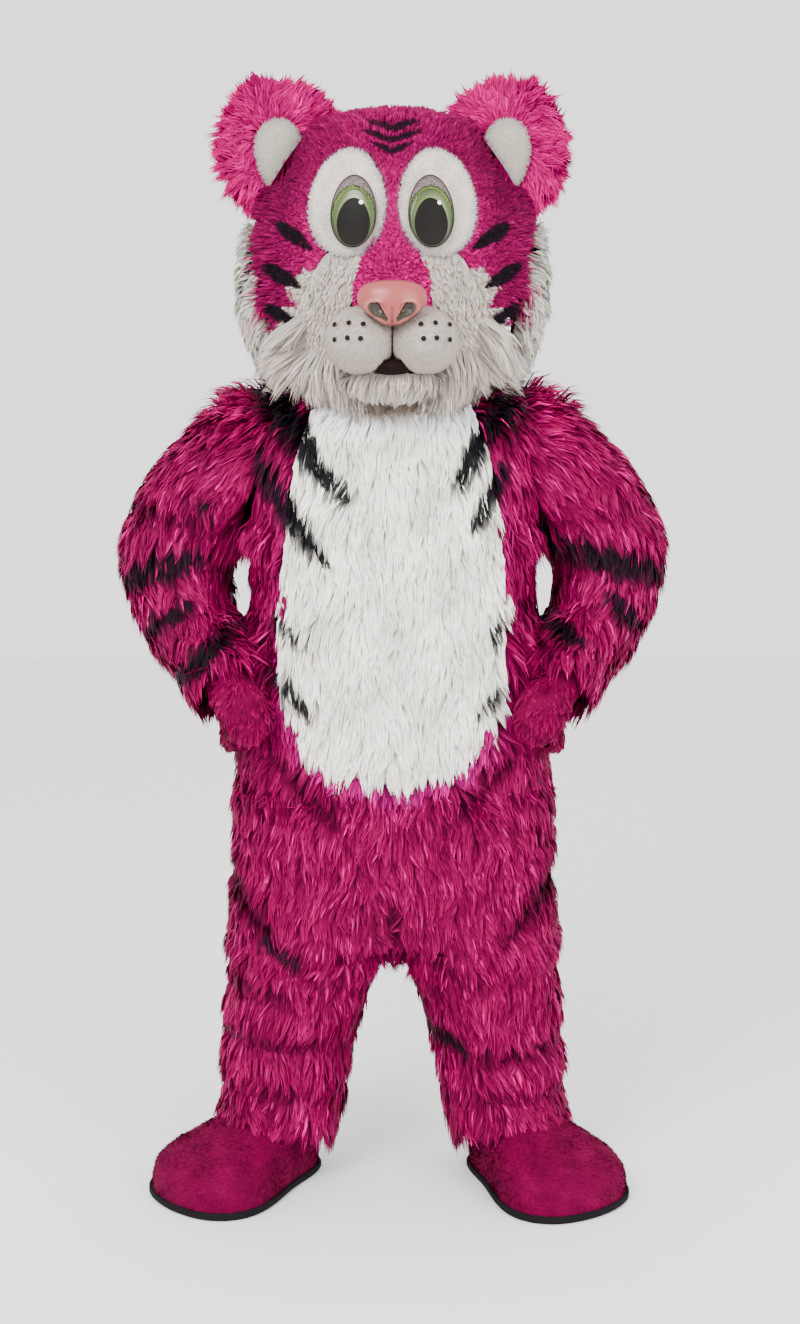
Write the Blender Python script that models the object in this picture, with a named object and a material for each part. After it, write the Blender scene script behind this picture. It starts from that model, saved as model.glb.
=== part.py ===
"""Tiger mascot costume: a hollow fur suit, head, gloves and foot covers in the pose in which they are worn.

Lengths are in metres and +Z is up. The wearer faces -Y and has the left hand at +X. Heights in the tables are
above the floor, and HOLD_HEIGHT then lowers everything so that the origin lies between the shoulders.
"""
import math

import bmesh
import bpy
from mathutils import Matrix, Vector

HOLD_HEIGHT = 1.385
SEAM = 0.0003
HALF_SEAM = SEAM / 2
PILE_WALL = 0.016
SHORT_WALL = 0.006
HEAD_WALL = 0.018
SIDES = {"left": 1.0, "right": -1.0}

# The torso's rings: half width, and reach forward and back from the side seam.
TORSO = [
    {"z": 0.400, "half": 0.291, "front": 0.165, "back": 0.175},
    {"z": 0.620, "half": 0.280, "front": 0.176, "back": 0.188},
    {"z": 0.780, "half": 0.272, "front": 0.187, "back": 0.186},
    {"z": 0.900, "half": 0.259, "front": 0.193, "back": 0.170},
    {"z": 1.010, "half": 0.247, "front": 0.193, "back": 0.160},
    {"z": 1.110, "half": 0.244, "front": 0.188, "back": 0.160},
    {"z": 1.220, "half": 0.254, "front": 0.179, "back": 0.162},
    {"z": 1.300, "half": 0.252, "front": 0.164, "back": 0.155},
    {"z": 1.345, "half": 0.238, "front": 0.147, "back": 0.143},
    {"z": 1.368, "half": 0.206, "front": 0.126, "back": 0.127},
    {"z": 1.383, "half": 0.150, "front": 0.109, "back": 0.111},
    {"z": 1.391, "half": 0.118, "front": 0.101, "back": 0.103},
    {"z": 1.412, "half": 0.106, "front": 0.097, "back": 0.100},
]
TORSO_POWER = 2.4

# The leg's rings: inner and outer edge from the middle of the body, and reach forward and back.
LEG = [
    {"z": 0.050, "inner": 0.104, "outer": 0.314, "front": 0.103, "back": 0.106},
    {"z": 0.110, "inner": 0.092, "outer": 0.311, "front": 0.107, "back": 0.110},
    {"z": 0.170, "inner": 0.080, "outer": 0.306, "front": 0.112, "back": 0.114},
    {"z": 0.220, "inner": 0.071, "outer": 0.302, "front": 0.115, "back": 0.117},
    {"z": 0.300, "inner": 0.054, "outer": 0.298, "front": 0.120, "back": 0.122},
    {"z": 0.350, "inner": 0.039, "outer": 0.295, "front": 0.125, "back": 0.127},
    {"z": 0.385, "inner": 0.023, "outer": 0.292, "front": 0.130, "back": 0.132},
    {"z": 0.408, "inner": 0.008, "outer": 0.290, "front": 0.134, "back": 0.137},
    {"z": 0.416, "inner": 0.000, "outer": 0.290, "front": 0.136, "back": 0.139},
    {"z": 0.500, "inner": 0.000, "outer": 0.286, "front": 0.150, "back": 0.155},
    {"z": 0.640, "inner": 0.000, "outer": 0.279, "front": 0.165, "back": 0.175},
]
LEG_POWER = 2.15
CROTCH = 0.416
CROTCH_TOP = 0.640
HEM_BACK = 0.060
HEM_RISE = 0.068
HEM_BLEND = 0.200
BELLY_COLUMNS = 5
FRONT_COLUMNS = 6
BACK_COLUMNS = 7

# The fur's ring folds on each leg: height at the outside, depth, half length, and drop towards the inside.
LEG_FOLDS = [
    {"z": 0.830, "rise": 0.004, "reach": 0.026, "drop": 0.060},
    {"z": 0.690, "rise": 0.006, "reach": 0.030, "drop": 0.070},
    {"z": 0.560, "rise": 0.008, "reach": 0.030, "drop": 0.060},
    {"z": 0.440, "rise": 0.009, "reach": 0.024, "drop": 0.030},
    {"z": 0.325, "rise": 0.008, "reach": 0.024, "drop": -0.020},
    {"z": 0.225, "rise": 0.009, "reach": 0.022, "drop": 0.020},
    {"z": 0.120, "rise": 0.008, "reach": 0.020, "drop": -0.015},
]

# The belly panel's half width at each height.
BELLY = [
    {"z": 0.7195, "half": 0.014},
    {"z": 0.7240, "half": 0.040},
    {"z": 0.7350, "half": 0.078},
    {"z": 0.7550, "half": 0.118},
    {"z": 0.7850, "half": 0.152},
    {"z": 0.8300, "half": 0.176},
    {"z": 0.9000, "half": 0.189},
    {"z": 0.9800, "half": 0.192},
    {"z": 1.1100, "half": 0.185},
    {"z": 1.2500, "half": 0.166},
    {"z": 1.3300, "half": 0.146},
    {"z": 1.3720, "half": 0.122},
    {"z": 1.4120, "half": 0.070},
]

# The sleeve's rings from the armhole to the cuff, for the arm at +X.
SLEEVE = [
    {"x": 0.180, "y": 0.002, "z": 1.276, "radius": 0.108},
    {"x": 0.266, "y": 0.012, "z": 1.255, "radius": 0.112},
    {"x": 0.323, "y": 0.028, "z": 1.204, "radius": 0.111},
    {"x": 0.361, "y": 0.036, "z": 1.138, "radius": 0.110},
    {"x": 0.373, "y": 0.027, "z": 1.072, "radius": 0.103},
    {"x": 0.356, "y": 0.000, "z": 1.014, "radius": 0.092},
    {"x": 0.328, "y": -0.044, "z": 0.966, "radius": 0.080},
    {"x": 0.304, "y": -0.092, "z": 0.932, "radius": 0.073},
    {"x": 0.285, "y": -0.126, "z": 0.904, "radius": 0.070},
]
SLEEVE_RINGS = 14
SLEEVE_COLUMNS = 14
SLEEVE_FREE_FROM = 0.45
REST_GAP = 0.002
ARMHOLE_GAP = 0.001
SLEEVE_FOLDS = [
    {"at": 0.36, "rise": 0.007, "reach": 0.035, "lean": 0.03},
    {"at": 0.50, "rise": 0.009, "reach": 0.032, "lean": -0.05},
    {"at": 0.64, "rise": 0.009, "reach": 0.030, "lean": 0.04},
    {"at": 0.77, "rise": 0.008, "reach": 0.028, "lean": -0.03},
    {"at": 0.92, "rise": 0.007, "reach": 0.030, "lean": 0.03},
]

# The head shell's rings.
HEAD = [
    {"z": 1.396, "half": 0.150, "front": 0.162, "back": 0.154},
    {"z": 1.415, "half": 0.187, "front": 0.186, "back": 0.174},
    {"z": 1.460, "half": 0.213, "front": 0.206, "back": 0.196},
    {"z": 1.530, "half": 0.230, "front": 0.224, "back": 0.214},
    {"z": 1.620, "half": 0.234, "front": 0.230, "back": 0.220},
    {"z": 1.700, "half": 0.212, "front": 0.214, "back": 0.206},
    {"z": 1.760, "half": 0.178, "front": 0.184, "back": 0.178},
    {"z": 1.800, "half": 0.144, "front": 0.148, "back": 0.144},
    {"z": 1.825, "half": 0.104, "front": 0.102, "back": 0.102},
    {"z": 1.837, "half": 0.050, "front": 0.046, "back": 0.048},
]
HEAD_POWER = 2.15
HEAD_COLUMNS = 32
HEAD_HEIGHTS = (1.396, 1.403, 1.419, 1.460, 1.510, 1.565, 1.620, 1.670, 1.715, 1.755, 1.787, 1.812, 1.829, 1.837)
HEAD_APEX = 1.8385
NECK_HOLE = {"half": 0.128, "front": 0.141, "back": 0.134, "low": 1.350, "high": 1.410}
RIM_DROP = 0.024
RIM_BLEND = 0.064

EYE = {"x": 0.0605, "z": 1.657, "half_width": 0.036, "half_height": 0.057, "tilt": 2.0, "stand": 0.0057,
       "bulge": 0.007, "lean_side": 0.26, "lean_up": 0.12}
EYE_THICK = 0.006
EYE_LAYERS = [
    {"name": "eye_iris_", "wide": 0.92, "high": 0.79, "drop": 0.0105, "lift": 0.0025, "thick": 0.0014},
    {"name": "eye_pupil_", "wide": 0.73, "high": 0.65, "drop": 0.0170, "lift": 0.0046, "thick": 0.0013},
]
EYE_PATCH = {"x": 0.0715, "z": 1.674, "half_width": 0.061, "half_height": 0.086, "tilt": 2.5}
BRIDGE = [
    {"z": 1.470, "half": 0.060},
    {"z": 1.535, "half": 0.062},
    {"z": 1.560, "half": 0.060},
    {"z": 1.580, "half": 0.051},
    {"z": 1.602, "half": 0.037},
    {"z": 1.630, "half": 0.020},
    {"z": 1.680, "half": 0.012},
    {"z": 1.730, "half": 0.020},
    {"z": 1.757, "half": 0.036},
    {"z": 1.778, "half": 0.070},
    {"z": 1.800, "half": 0.090},
    {"z": 1.860, "half": 0.100},
]
JAW = [
    {"z": 1.330, "half": 0.196},
    {"z": 1.430, "half": 0.190},
    {"z": 1.470, "half": 0.166},
    {"z": 1.520, "half": 0.152},
    {"z": 1.560, "half": 0.130},
    {"z": 1.585, "half": 0.116},
    {"z": 1.600, "half": 0.098},
    {"z": 1.618, "half": 0.070},
]
MUZZLE = {"x": 0.050, "y": -0.236, "z": 1.458, "rx": 0.060, "ry": 0.082, "rz": 0.054}
CHIN = {"x": 0.0, "y": -0.192, "z": 1.399, "rx": 0.078, "ry": 0.058, "rz": 0.030}
MOUTH = {"x": 0.0, "y": -0.226, "z": 1.419, "rx": 0.040, "ry": 0.056, "rz": 0.016}
NOSE = {"x": 0.0, "y": -0.302, "z": 1.512, "rx": 0.058, "ry": 0.036, "rz": 0.035}
NOSTRIL = {"x": 0.023, "y": -0.336, "z": 1.502, "rx": 0.012, "ry": 0.012, "rz": 0.010}

EAR = {"x": 0.181, "y": 0.002, "z": 1.796, "radius": 0.108, "front": 0.030, "back": 0.042, "turn": 16.0}
EAR_DROP = 0.026
EAR_DISH = 0.012
INNER_EAR = {"x": 0.014, "z": -0.031, "half_width": 0.041, "half_height": 0.062}
RUFF_GAP = 0.0008
FACE_GAP = 0.0008
RUFF = {"low": 1.4019, "high": 1.662, "from": -27.0, "to": 36.0, "reach": 0.036}

GLOVE = [
    {"x": 0.307, "y": -0.084, "z": 0.938, "rx": 0.034, "ry": 0.034},
    {"x": 0.286, "y": -0.122, "z": 0.912, "rx": 0.034, "ry": 0.036},
    {"x": 0.262, "y": -0.157, "z": 0.888, "rx": 0.043, "ry": 0.042},
    {"x": 0.243, "y": -0.177, "z": 0.864, "rx": 0.050, "ry": 0.046},
    {"x": 0.235, "y": -0.180, "z": 0.842, "rx": 0.048, "ry": 0.044},
    {"x": 0.232, "y": -0.170, "z": 0.824, "rx": 0.034, "ry": 0.034},
]
GLOVE_COLUMNS = 12
# The three fingers lie back along the hip, one below another, as one block with grooves between them.
FINGERS = {"z": 0.8329, "x": 0.252, "y": -0.172, "pitch": 0.0225, "radius": 0.0165, "length": 0.118, "drop": -0.022,
           "groove": 0.010, "swing": 0.030, "curl": 1.35, "steps": 5}

FOOT_TURN = {"left": 35.0, "right": 45.0}
ANKLE = {"x": 0.207, "y": 0.002, "radius": 0.064}
ANKLE_RISE = {"left": 0.1255, "right": 0.1231}
FOOT = [
    {"along": -0.076, "half": 0.012},
    {"along": -0.070, "half": 0.036},
    {"along": -0.052, "half": 0.056},
    {"along": -0.015, "half": 0.068},
    {"along": 0.035, "half": 0.080},
    {"along": 0.085, "half": 0.103},
    {"along": 0.135, "half": 0.120},
    {"along": 0.180, "half": 0.118},
    {"along": 0.218, "half": 0.093},
    {"along": 0.237, "half": 0.054},
    {"along": 0.243, "half": 0.014},
]
TOE_HEIGHT = 0.088
FOOT_RINGS = 5
SOLE_THICK = 0.013
SOLE_LIP = 0.003
SOLE_BEVEL = 0.004
ZIP = {"low": 0.930, "high": 1.340, "half": 0.013, "thick": 0.0016}


def ease(t):
    """Smooth step between 0 and 1."""
    t = min(1.0, max(0.0, t))
    return t * t * (3.0 - 2.0 * t)


def look_up(table, key, value, column):
    """Reads a column of a table smoothly at a value of its key."""
    rows = sorted(table, key=lambda row: row[key])
    value = min(rows[-1][key], max(rows[0][key], value))
    index = max(i for i in range(len(rows) - 1) if rows[i][key] <= value)
    steps = [(b[column] - a[column]) / (b[key] - a[key]) for a, b in zip(rows, rows[1:])]

    def slope(i):
        if i == 0:
            return steps[0]
        if i == len(rows) - 1:
            return steps[-1]
        if steps[i - 1] * steps[i] <= 0.0:
            return 0.0
        return 2.0 * steps[i - 1] * steps[i] / (steps[i - 1] + steps[i])

    low, high = rows[index], rows[index + 1]
    span = high[key] - low[key]
    t = (value - low[key]) / span
    return ((2 * t ** 3 - 3 * t ** 2 + 1) * low[column] + (t ** 3 - 2 * t ** 2 + t) * span * slope(index)
            + (3 * t ** 2 - 2 * t ** 3) * high[column] + (t ** 3 - t ** 2) * span * slope(index + 1))


def on_oval(angle, half, front, back, power):
    """A point of a squared oval: 0 degrees is the side at +X and -90 degrees the front."""
    c, s = math.cos(angle), math.sin(angle)
    x = half * math.copysign(abs(c) ** (2.0 / power), c)
    y = (front if s < 0 else back) * math.copysign(abs(s) ** (2.0 / power), s)
    return x, y


def body_point(turn, z):
    """The suit's outer face. turn runs from 0 at the front seam or inner leg, by 0.5 at the side, to 1."""
    half = look_up(TORSO, "z", z, "half")
    front = look_up(TORSO, "z", z, "front")
    back = look_up(TORSO, "z", z, "back")
    if z >= CROTCH_TOP:
        point = Vector((*on_oval(math.pi * (turn - 0.5), half, front, back, TORSO_POWER), z))
    else:
        inner = look_up(LEG, "z", z, "inner")
        outer = look_up(LEG, "z", z, "outer")
        middle, radius = (inner + outer) / 2, (outer - inner) / 2
        x, y = on_oval(2 * math.pi * (turn - 0.5), radius, look_up(LEG, "z", z, "front"),
                       look_up(LEG, "z", z, "back"), LEG_POWER)
        point = Vector((middle + x, y, z))
        if z > CROTCH:
            s = (CROTCH_TOP - z) / (CROTCH_TOP - CROTCH)
            whole = Vector((*on_oval(math.pi * (turn - 0.5), half, front, back, TORSO_POWER), z))
            point = whole.lerp(point, 1.0 - math.sqrt(max(0.0, 1.0 - s * s)))
    side = math.sin(math.pi * turn)
    rise = 0.0
    for fold in LEG_FOLDS:
        centre = fold["z"] - fold["drop"] * (1.0 - side)
        rise += fold["rise"] * math.exp(-((z - centre) / fold["reach"]) ** 2)
    fade = ease((0.90 - z) / 0.10) if z > 0.80 else 1.0
    centre_x = 0.0 if z > CROTCH_TOP else (look_up(LEG, "z", z, "inner") + look_up(LEG, "z", z, "outer")) / 2
    away = Vector((point.x - centre_x * ease((CROTCH_TOP - z) / 0.15), point.y, 0.0))
    if away.length > 1e-6:
        point = point + away.normalized() * rise * fade * (0.4 + 0.6 * side)
    return point


def hem_height(turn):
    """The leg's hem is low behind and rides up over the foot."""
    angle = 2 * math.pi * (turn - 0.5)
    towards_toe = math.radians(-90.0 + sum(FOOT_TURN.values()) / 2)
    return HEM_BACK + HEM_RISE * ease(0.62 + 0.62 * math.cos(angle - towards_toe))


def suit_point(turn, z, depth):
    """A point of the suit's wall, depth below its outer face, with the lowest rows drawn to the hem."""
    lowest = LEG[0]["z"]
    if z < HEM_BLEND:
        z = hem_height(turn) + (HEM_BLEND - hem_height(turn)) * (z - lowest) / (HEM_BLEND - lowest)
    if depth == 0.0:
        return body_point(turn, z)
    step = 0.004
    t0, t1 = max(0.0, turn - step), min(1.0, turn + step)
    along = body_point(t1, z) - body_point(t0, z)
    up = body_point(turn, z + 0.002) - body_point(turn, z - 0.002)
    normal = along.cross(up)
    if normal.length < 1e-12:
        return body_point(turn, z)
    return body_point(turn, z) - normal.normalized() * depth


def belly_turn(z):
    """Where the belly panel's edge lies round the suit at a height."""
    half = look_up(TORSO, "z", z, "half")
    ratio = min(0.98, look_up(BELLY, "z", z, "half") / half)
    return 0.5 - math.acos(ratio ** (TORSO_POWER / 2)) / math.pi


def finish_mesh(name, bm):
    """Makes an object from a closed mesh, with its faces turned outwards."""
    bmesh.ops.remove_doubles(bm, verts=bm.verts, dist=1e-6)
    bmesh.ops.recalc_face_normals(bm, faces=bm.faces)
    mesh = bpy.data.meshes.new(name)
    bm.to_mesh(mesh)
    bm.free()
    obj = bpy.data.objects.new(name, mesh)
    volume_check = bmesh.new()
    volume_check.from_mesh(mesh)
    if volume_check.calc_volume(signed=True) < 0:
        bmesh.ops.reverse_faces(volume_check, faces=volume_check.faces)
        volume_check.to_mesh(mesh)
    volume_check.free()
    return obj


def wall_solid(name, outer, inner, wrap=False):
    """A wall between two grids of points, closed round its edges. wrap joins the last column to the first."""
    bm = bmesh.new()
    rows, columns = len(outer), len(outer[0])
    a = [[bm.verts.new(p) for p in row] for row in outer]
    b = [[bm.verts.new(p) for p in row] for row in inner]
    last = columns if wrap else columns - 1
    for r in range(rows - 1):
        for c in range(last):
            d = (c + 1) % columns
            bm.faces.new((a[r][c], a[r][d], a[r + 1][d], a[r + 1][c]))
            bm.faces.new((b[r][c], b[r + 1][c], b[r + 1][d], b[r][d]))
    for c in range(last):
        d = (c + 1) % columns
        bm.faces.new((a[0][c], b[0][c], b[0][d], a[0][d]))
        bm.faces.new((a[-1][c], a[-1][d], b[-1][d], b[-1][c]))
    if not wrap:
        for r in range(rows - 1):
            bm.faces.new((a[r][0], a[r + 1][0], b[r + 1][0], b[r][0]))
            bm.faces.new((a[r][-1], b[r][-1], b[r + 1][-1], a[r + 1][-1]))
    return finish_mesh(name, bm)


def closed_solid(name, rings, low=None, high=None):
    """A closed body through rings of points, ended by a point or by a flat face."""
    bm = bmesh.new()
    loops = [[bm.verts.new(p) for p in ring] for ring in rings]
    count = len(loops[0])
    for r in range(len(loops) - 1):
        for c in range(count):
            d = (c + 1) % count
            bm.faces.new((loops[r][c], loops[r][d], loops[r + 1][d], loops[r + 1][c]))
    for loop, tip in ((loops[0], low), (loops[-1], high)):
        if tip is None:
            bm.faces.new(loop)
        else:
            point = bm.verts.new(tip)
            for c in range(count):
                bm.faces.new((loop[c], loop[(c + 1) % count], point))
    return finish_mesh(name, bm)


def boolean(obj, tool, operation):
    """Applies an exact boolean and drops the tool into the cutters' collection."""
    if tool.name not in CUTTERS.objects:
        CUTTERS.objects.link(tool)
        tool.hide_render = True
        tool.display_type = "WIRE"
    if not obj.users_collection:
        CUTTERS.objects.link(obj)
    modifier = obj.modifiers.new("cut", "BOOLEAN")
    modifier.solver = "EXACT"
    modifier.operation = operation
    modifier.object = tool
    bpy.context.view_layer.update()
    result = bpy.data.meshes.new_from_object(obj.evaluated_get(bpy.context.evaluated_depsgraph_get()))
    obj.modifiers.clear()
    obj.data = result
    return obj


def duplicate(obj, name):
    """A second object with its own copy of a mesh."""
    twin = bpy.data.objects.new(name, obj.data.copy())
    CUTTERS.objects.link(twin)
    return twin


def mirrored(points, side):
    """Points of the left half, or their mirror image for the right half."""
    return [[Vector((p.x * side, p.y, p.z)) for p in row] for row in points]


def keep(obj, name, slot):
    """Puts a finished solid into the costume's collection with a material of its own."""
    for collection in list(obj.users_collection):
        collection.objects.unlink(obj)
    obj.name = name
    obj.data.name = name
    material = bpy.data.materials.new(name)
    material.use_nodes = True
    shader = material.node_tree.nodes["Principled BSDF"]
    shader.inputs["Base Color"].default_value = (*SLOT_COLOURS[slot], 1.0)
    shader.inputs["Roughness"].default_value = 0.55 if slot in ("nose_vinyl", "eye_black") else 0.95
    obj.data.materials.clear()
    obj.data.materials.append(material)
    COSTUME.objects.link(obj)
    obj.parent = STAND
    return obj


SLOT_COLOURS = {
    "fur_magenta": (0.55, 0.004, 0.16),
    "pile_magenta": (0.40, 0.003, 0.11),
    "fur_white": (0.78, 0.76, 0.70),
    "pile_white": (0.76, 0.70, 0.66),
    "ear_lining": (0.66, 0.69, 0.60),
    "eye_mesh": (0.66, 0.62, 0.58),
    "eye_green": (0.14, 0.25, 0.07),
    "eye_black": (0.01, 0.009, 0.008),
    "nose_vinyl": (0.76, 0.30, 0.28),
    "mouth_dark": (0.03, 0.012, 0.014),
    "sole_black": (0.015, 0.013, 0.015),
    "zip_tape": (0.35, 0.004, 0.11),
}


def suit_heights():
    """Rows from the hem to the neck, closer together at the crotch and at the belly panel's foot."""
    rows = [0.050, 0.095, 0.135, 0.180, 0.225, 0.270, 0.320, 0.372, 0.408]
    for s in (1.0, 0.97, 0.90, 0.76, 0.52, 0.22):
        rows.append(CROTCH_TOP - s * (CROTCH_TOP - CROTCH))
    rows += [0.640, 0.685, 0.7192, 0.7195, 0.724, 0.735, 0.755, 0.790, 0.840, 0.910, 0.990, 1.070, 1.150, 1.220,
             1.285, 1.330, 1.357, 1.372, 1.383, 1.391, 1.412]
    return rows


def panel(side, ends, columns, heights=None):
    """The outer and inner points of a suit panel. ends gives its first and last turn at a height."""
    outer, inner = [], []
    for z in heights or suit_heights():
        first, last = ends(z)
        turns = [first + (last - first) * c / columns for c in range(columns + 1)]
        for grid, depth in ((outer, 0.0), (inner, PILE_WALL)):
            row = []
            for turn in turns:
                p = suit_point(turn, z, depth)
                p.x = max(p.x, HALF_SEAM)
                p.y = min(p.y, -HALF_SEAM) if turn < 0.5 else max(p.y, HALF_SEAM)
                row.append(p)
            grid.append(row)
    return mirrored(outer, side), mirrored(inner, side)


def seam_turn(z, turn):
    """How much turn half a seam takes up beside a given turn."""
    step = 0.002
    length = (body_point(min(1.0, turn + step), z) - body_point(max(0.0, turn - step), z)).length
    return HALF_SEAM * step * 2 / max(length, 1e-5)


def front_ends(z):
    """The front panel runs from the belly panel or front seam to the side seam."""
    if z > 0.7193:
        edge = belly_turn(z)
        return edge + seam_turn(z, edge), 0.5 - seam_turn(z, 0.5)
    return 0.0, 0.5 - seam_turn(z, 0.5)


def back_ends(z):
    """The back panel runs from the side seam to the back seam."""
    return 0.5 + seam_turn(z, 0.5), 1.0


def build_suit_body():
    """The four long panels, the belly panel and the zip's tape behind the back seam."""
    solids = {}
    for label, side in SIDES.items():
        solids["suit_front_" + label] = wall_solid("front", *panel(side, front_ends, FRONT_COLUMNS))
        solids["suit_back_" + label] = wall_solid("back", *panel(side, back_ends, BACK_COLUMNS))
    outer, inner = [], []
    for z in [z for z in suit_heights() if z > 0.7193]:
        edge = belly_turn(z)
        edge -= seam_turn(z, edge)
        for grid, depth in ((outer, 0.0), (inner, PILE_WALL)):
            row = []
            for c in range(-BELLY_COLUMNS, BELLY_COLUMNS + 1):
                p = suit_point(edge * abs(c) / BELLY_COLUMNS, z, depth)
                row.append(Vector((math.copysign(p.x, c) if c else 0.0, p.y, p.z)))
            grid.append(row)
    solids["suit_belly"] = wall_solid("belly", outer, inner)
    outer, inner = [], []
    for z in [z for z in suit_heights() if ZIP["low"] <= z <= ZIP["high"]]:
        beside = 1.0 - 0.5 / BACK_COLUMNS
        seam, next_column = suit_point(1.0, z, PILE_WALL), suit_point(beside, z, PILE_WALL)
        edge = seam.lerp(next_column, ZIP["half"] / next_column.x)
        for grid, extra in ((outer, SEAM), (inner, SEAM + ZIP["thick"])):
            grid.append([Vector((x, min(edge.y, seam.y) - extra, edge.z)) for x in (-ZIP["half"], 0.0, ZIP["half"])])
    solids["back_zip"] = wall_solid("zip", outer, inner)
    return solids


def along_path(table, at, column):
    """Reads a path's table at a place between 0 and 1 along its rows."""
    rows = [dict(row, at=i / (len(table) - 1)) for i, row in enumerate(table)]
    return look_up(rows, "at", at, column)


def path_frames(table, places):
    """Centres and cross axes along a path, carried on without twist."""
    frames = []
    across = None
    for at in places:
        ends = [Vector([along_path(table, min(1.0, max(0.0, at + d)), k) for k in "xyz"]) for d in (-0.03, 0.03)]
        centre = Vector([along_path(table, at, k) for k in "xyz"])
        ahead = (ends[1] - ends[0]).normalized()
        if across is None:
            across = Vector((0.0, 0.0, 1.0))
        across = (across - ahead * across.dot(ahead)).normalized()
        frames.append((centre, across.copy(), ahead.cross(across)))
    return frames


def clear_of_torso(p, gap):
    """Moves a point out of the torso until it is a gap away from its face."""
    half = look_up(TORSO, "z", p.z, "half") + gap
    front = look_up(TORSO, "z", p.z, "front") + gap
    back = look_up(TORSO, "z", p.z, "back") + gap
    reach = front if p.y < 0 else back
    level = (abs(p.x) / half) ** TORSO_POWER + (abs(p.y) / reach) ** TORSO_POWER
    if level >= 1.0:
        return p
    scale = level ** (-1.0 / TORSO_POWER)
    return Vector((p.x * scale, p.y * scale, p.z))


def sleeve_rings(depth, places):
    """The sleeve's rings at a depth below its outer face."""
    rings = []
    for at, (centre, up, over) in zip(places, path_frames(SLEEVE, places)):
        radius = along_path(SLEEVE, at, "radius")
        ring = []
        for c in range(SLEEVE_COLUMNS):
            angle = 2 * math.pi * c / SLEEVE_COLUMNS
            rise = sum(f["rise"] * math.exp(-((at - f["at"] - f["lean"] * math.cos(angle)) / f["reach"]) ** 2)
                       for f in SLEEVE_FOLDS)
            reach = radius + rise - depth - 0.004
            p = centre + up * math.cos(angle) * reach + over * math.sin(angle) * reach
            if at > SLEEVE_FREE_FROM:
                p = clear_of_torso(p, REST_GAP + depth)
            ring.append(p)
        rings.append(ring)
    return rings


def ring_turns(z):
    """The turns of the belly, front and back panels' columns at a height, from the front seam to the back."""
    edge = belly_turn(z)
    turns = [edge * c / BELLY_COLUMNS for c in range(BELLY_COLUMNS)]
    turns += [edge + (0.5 - edge) * c / FRONT_COLUMNS for c in range(FRONT_COLUMNS)]
    return turns + [0.5 + 0.5 * c / BACK_COLUMNS for c in range(BACK_COLUMNS + 1)]


def torso_volume(grow):
    """The torso's closed outer body, used to trim what meets it."""
    rings = []
    for z in [z for z in suit_heights() if z > 0.9]:
        half = [suit_point(turn, z, -grow) for turn in ring_turns(z)]
        rings.append(half + [Vector((-p.x, p.y, p.z)) for p in half[-2:0:-1]])
    low = sum(rings[0], Vector()) / len(rings[0])
    high = sum(rings[-1], Vector()) / len(rings[-1])
    return closed_solid("torso_volume", rings, low, high)


def build_sleeves(solids):
    """Sleeves end on the torso's face, and the torso's panels are open where the arm passes through."""
    places = [i / (SLEEVE_RINGS - 1) for i in range(SLEEVE_RINGS)]
    trim = torso_volume(ARMHOLE_GAP)
    for label, side in SIDES.items():
        outer = mirrored(sleeve_rings(0.0, places), side)
        inner = mirrored(sleeve_rings(PILE_WALL, places), side)
        sleeve = wall_solid("sleeve", outer, inner, wrap=True)
        solids["sleeve_" + label] = boolean(sleeve, trim, "DIFFERENCE")
        reach = [p for p in places if p < SLEEVE_FREE_FROM]
        hole = mirrored(sleeve_rings(PILE_WALL, reach), side)
        arm = closed_solid("armhole", hole)
        for name in ("suit_front_" + label, "suit_back_" + label):
            boolean(solids[name], arm, "DIFFERENCE")


def oval_ring(centre, rx, ry, up, over, count):
    """A ring of points round a centre."""
    return [centre + up * math.cos(2 * math.pi * c / count) * rx + over * math.sin(2 * math.pi * c / count) * ry
            for c in range(count)]


def finger_outline(depth, end):
    """The outline of three fingers stacked in height, at a depth below their face."""
    radius = FINGERS["radius"] * end - depth
    top = FINGERS["pitch"] + radius
    heights = [top * math.sin(math.pi * (k / 8 - 0.5)) for k in range(1, 8)]
    widths = []
    for z in heights:
        near = min(abs(z - lobe * FINGERS["pitch"]) for lobe in (-1, 0, 1))
        widths.append(max(FINGERS["groove"] * end - depth * 0.6, math.sqrt(max(0.0, radius ** 2 - near ** 2))))
    right = [Vector((w, 0.0, z)) for w, z in zip(widths, heights)]
    left = [Vector((-w, 0.0, z)) for w, z in zip(reversed(widths), reversed(heights))]
    return [Vector((0.0, 0.0, -top))] + right + [Vector((0.0, 0.0, top))] + left


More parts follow.
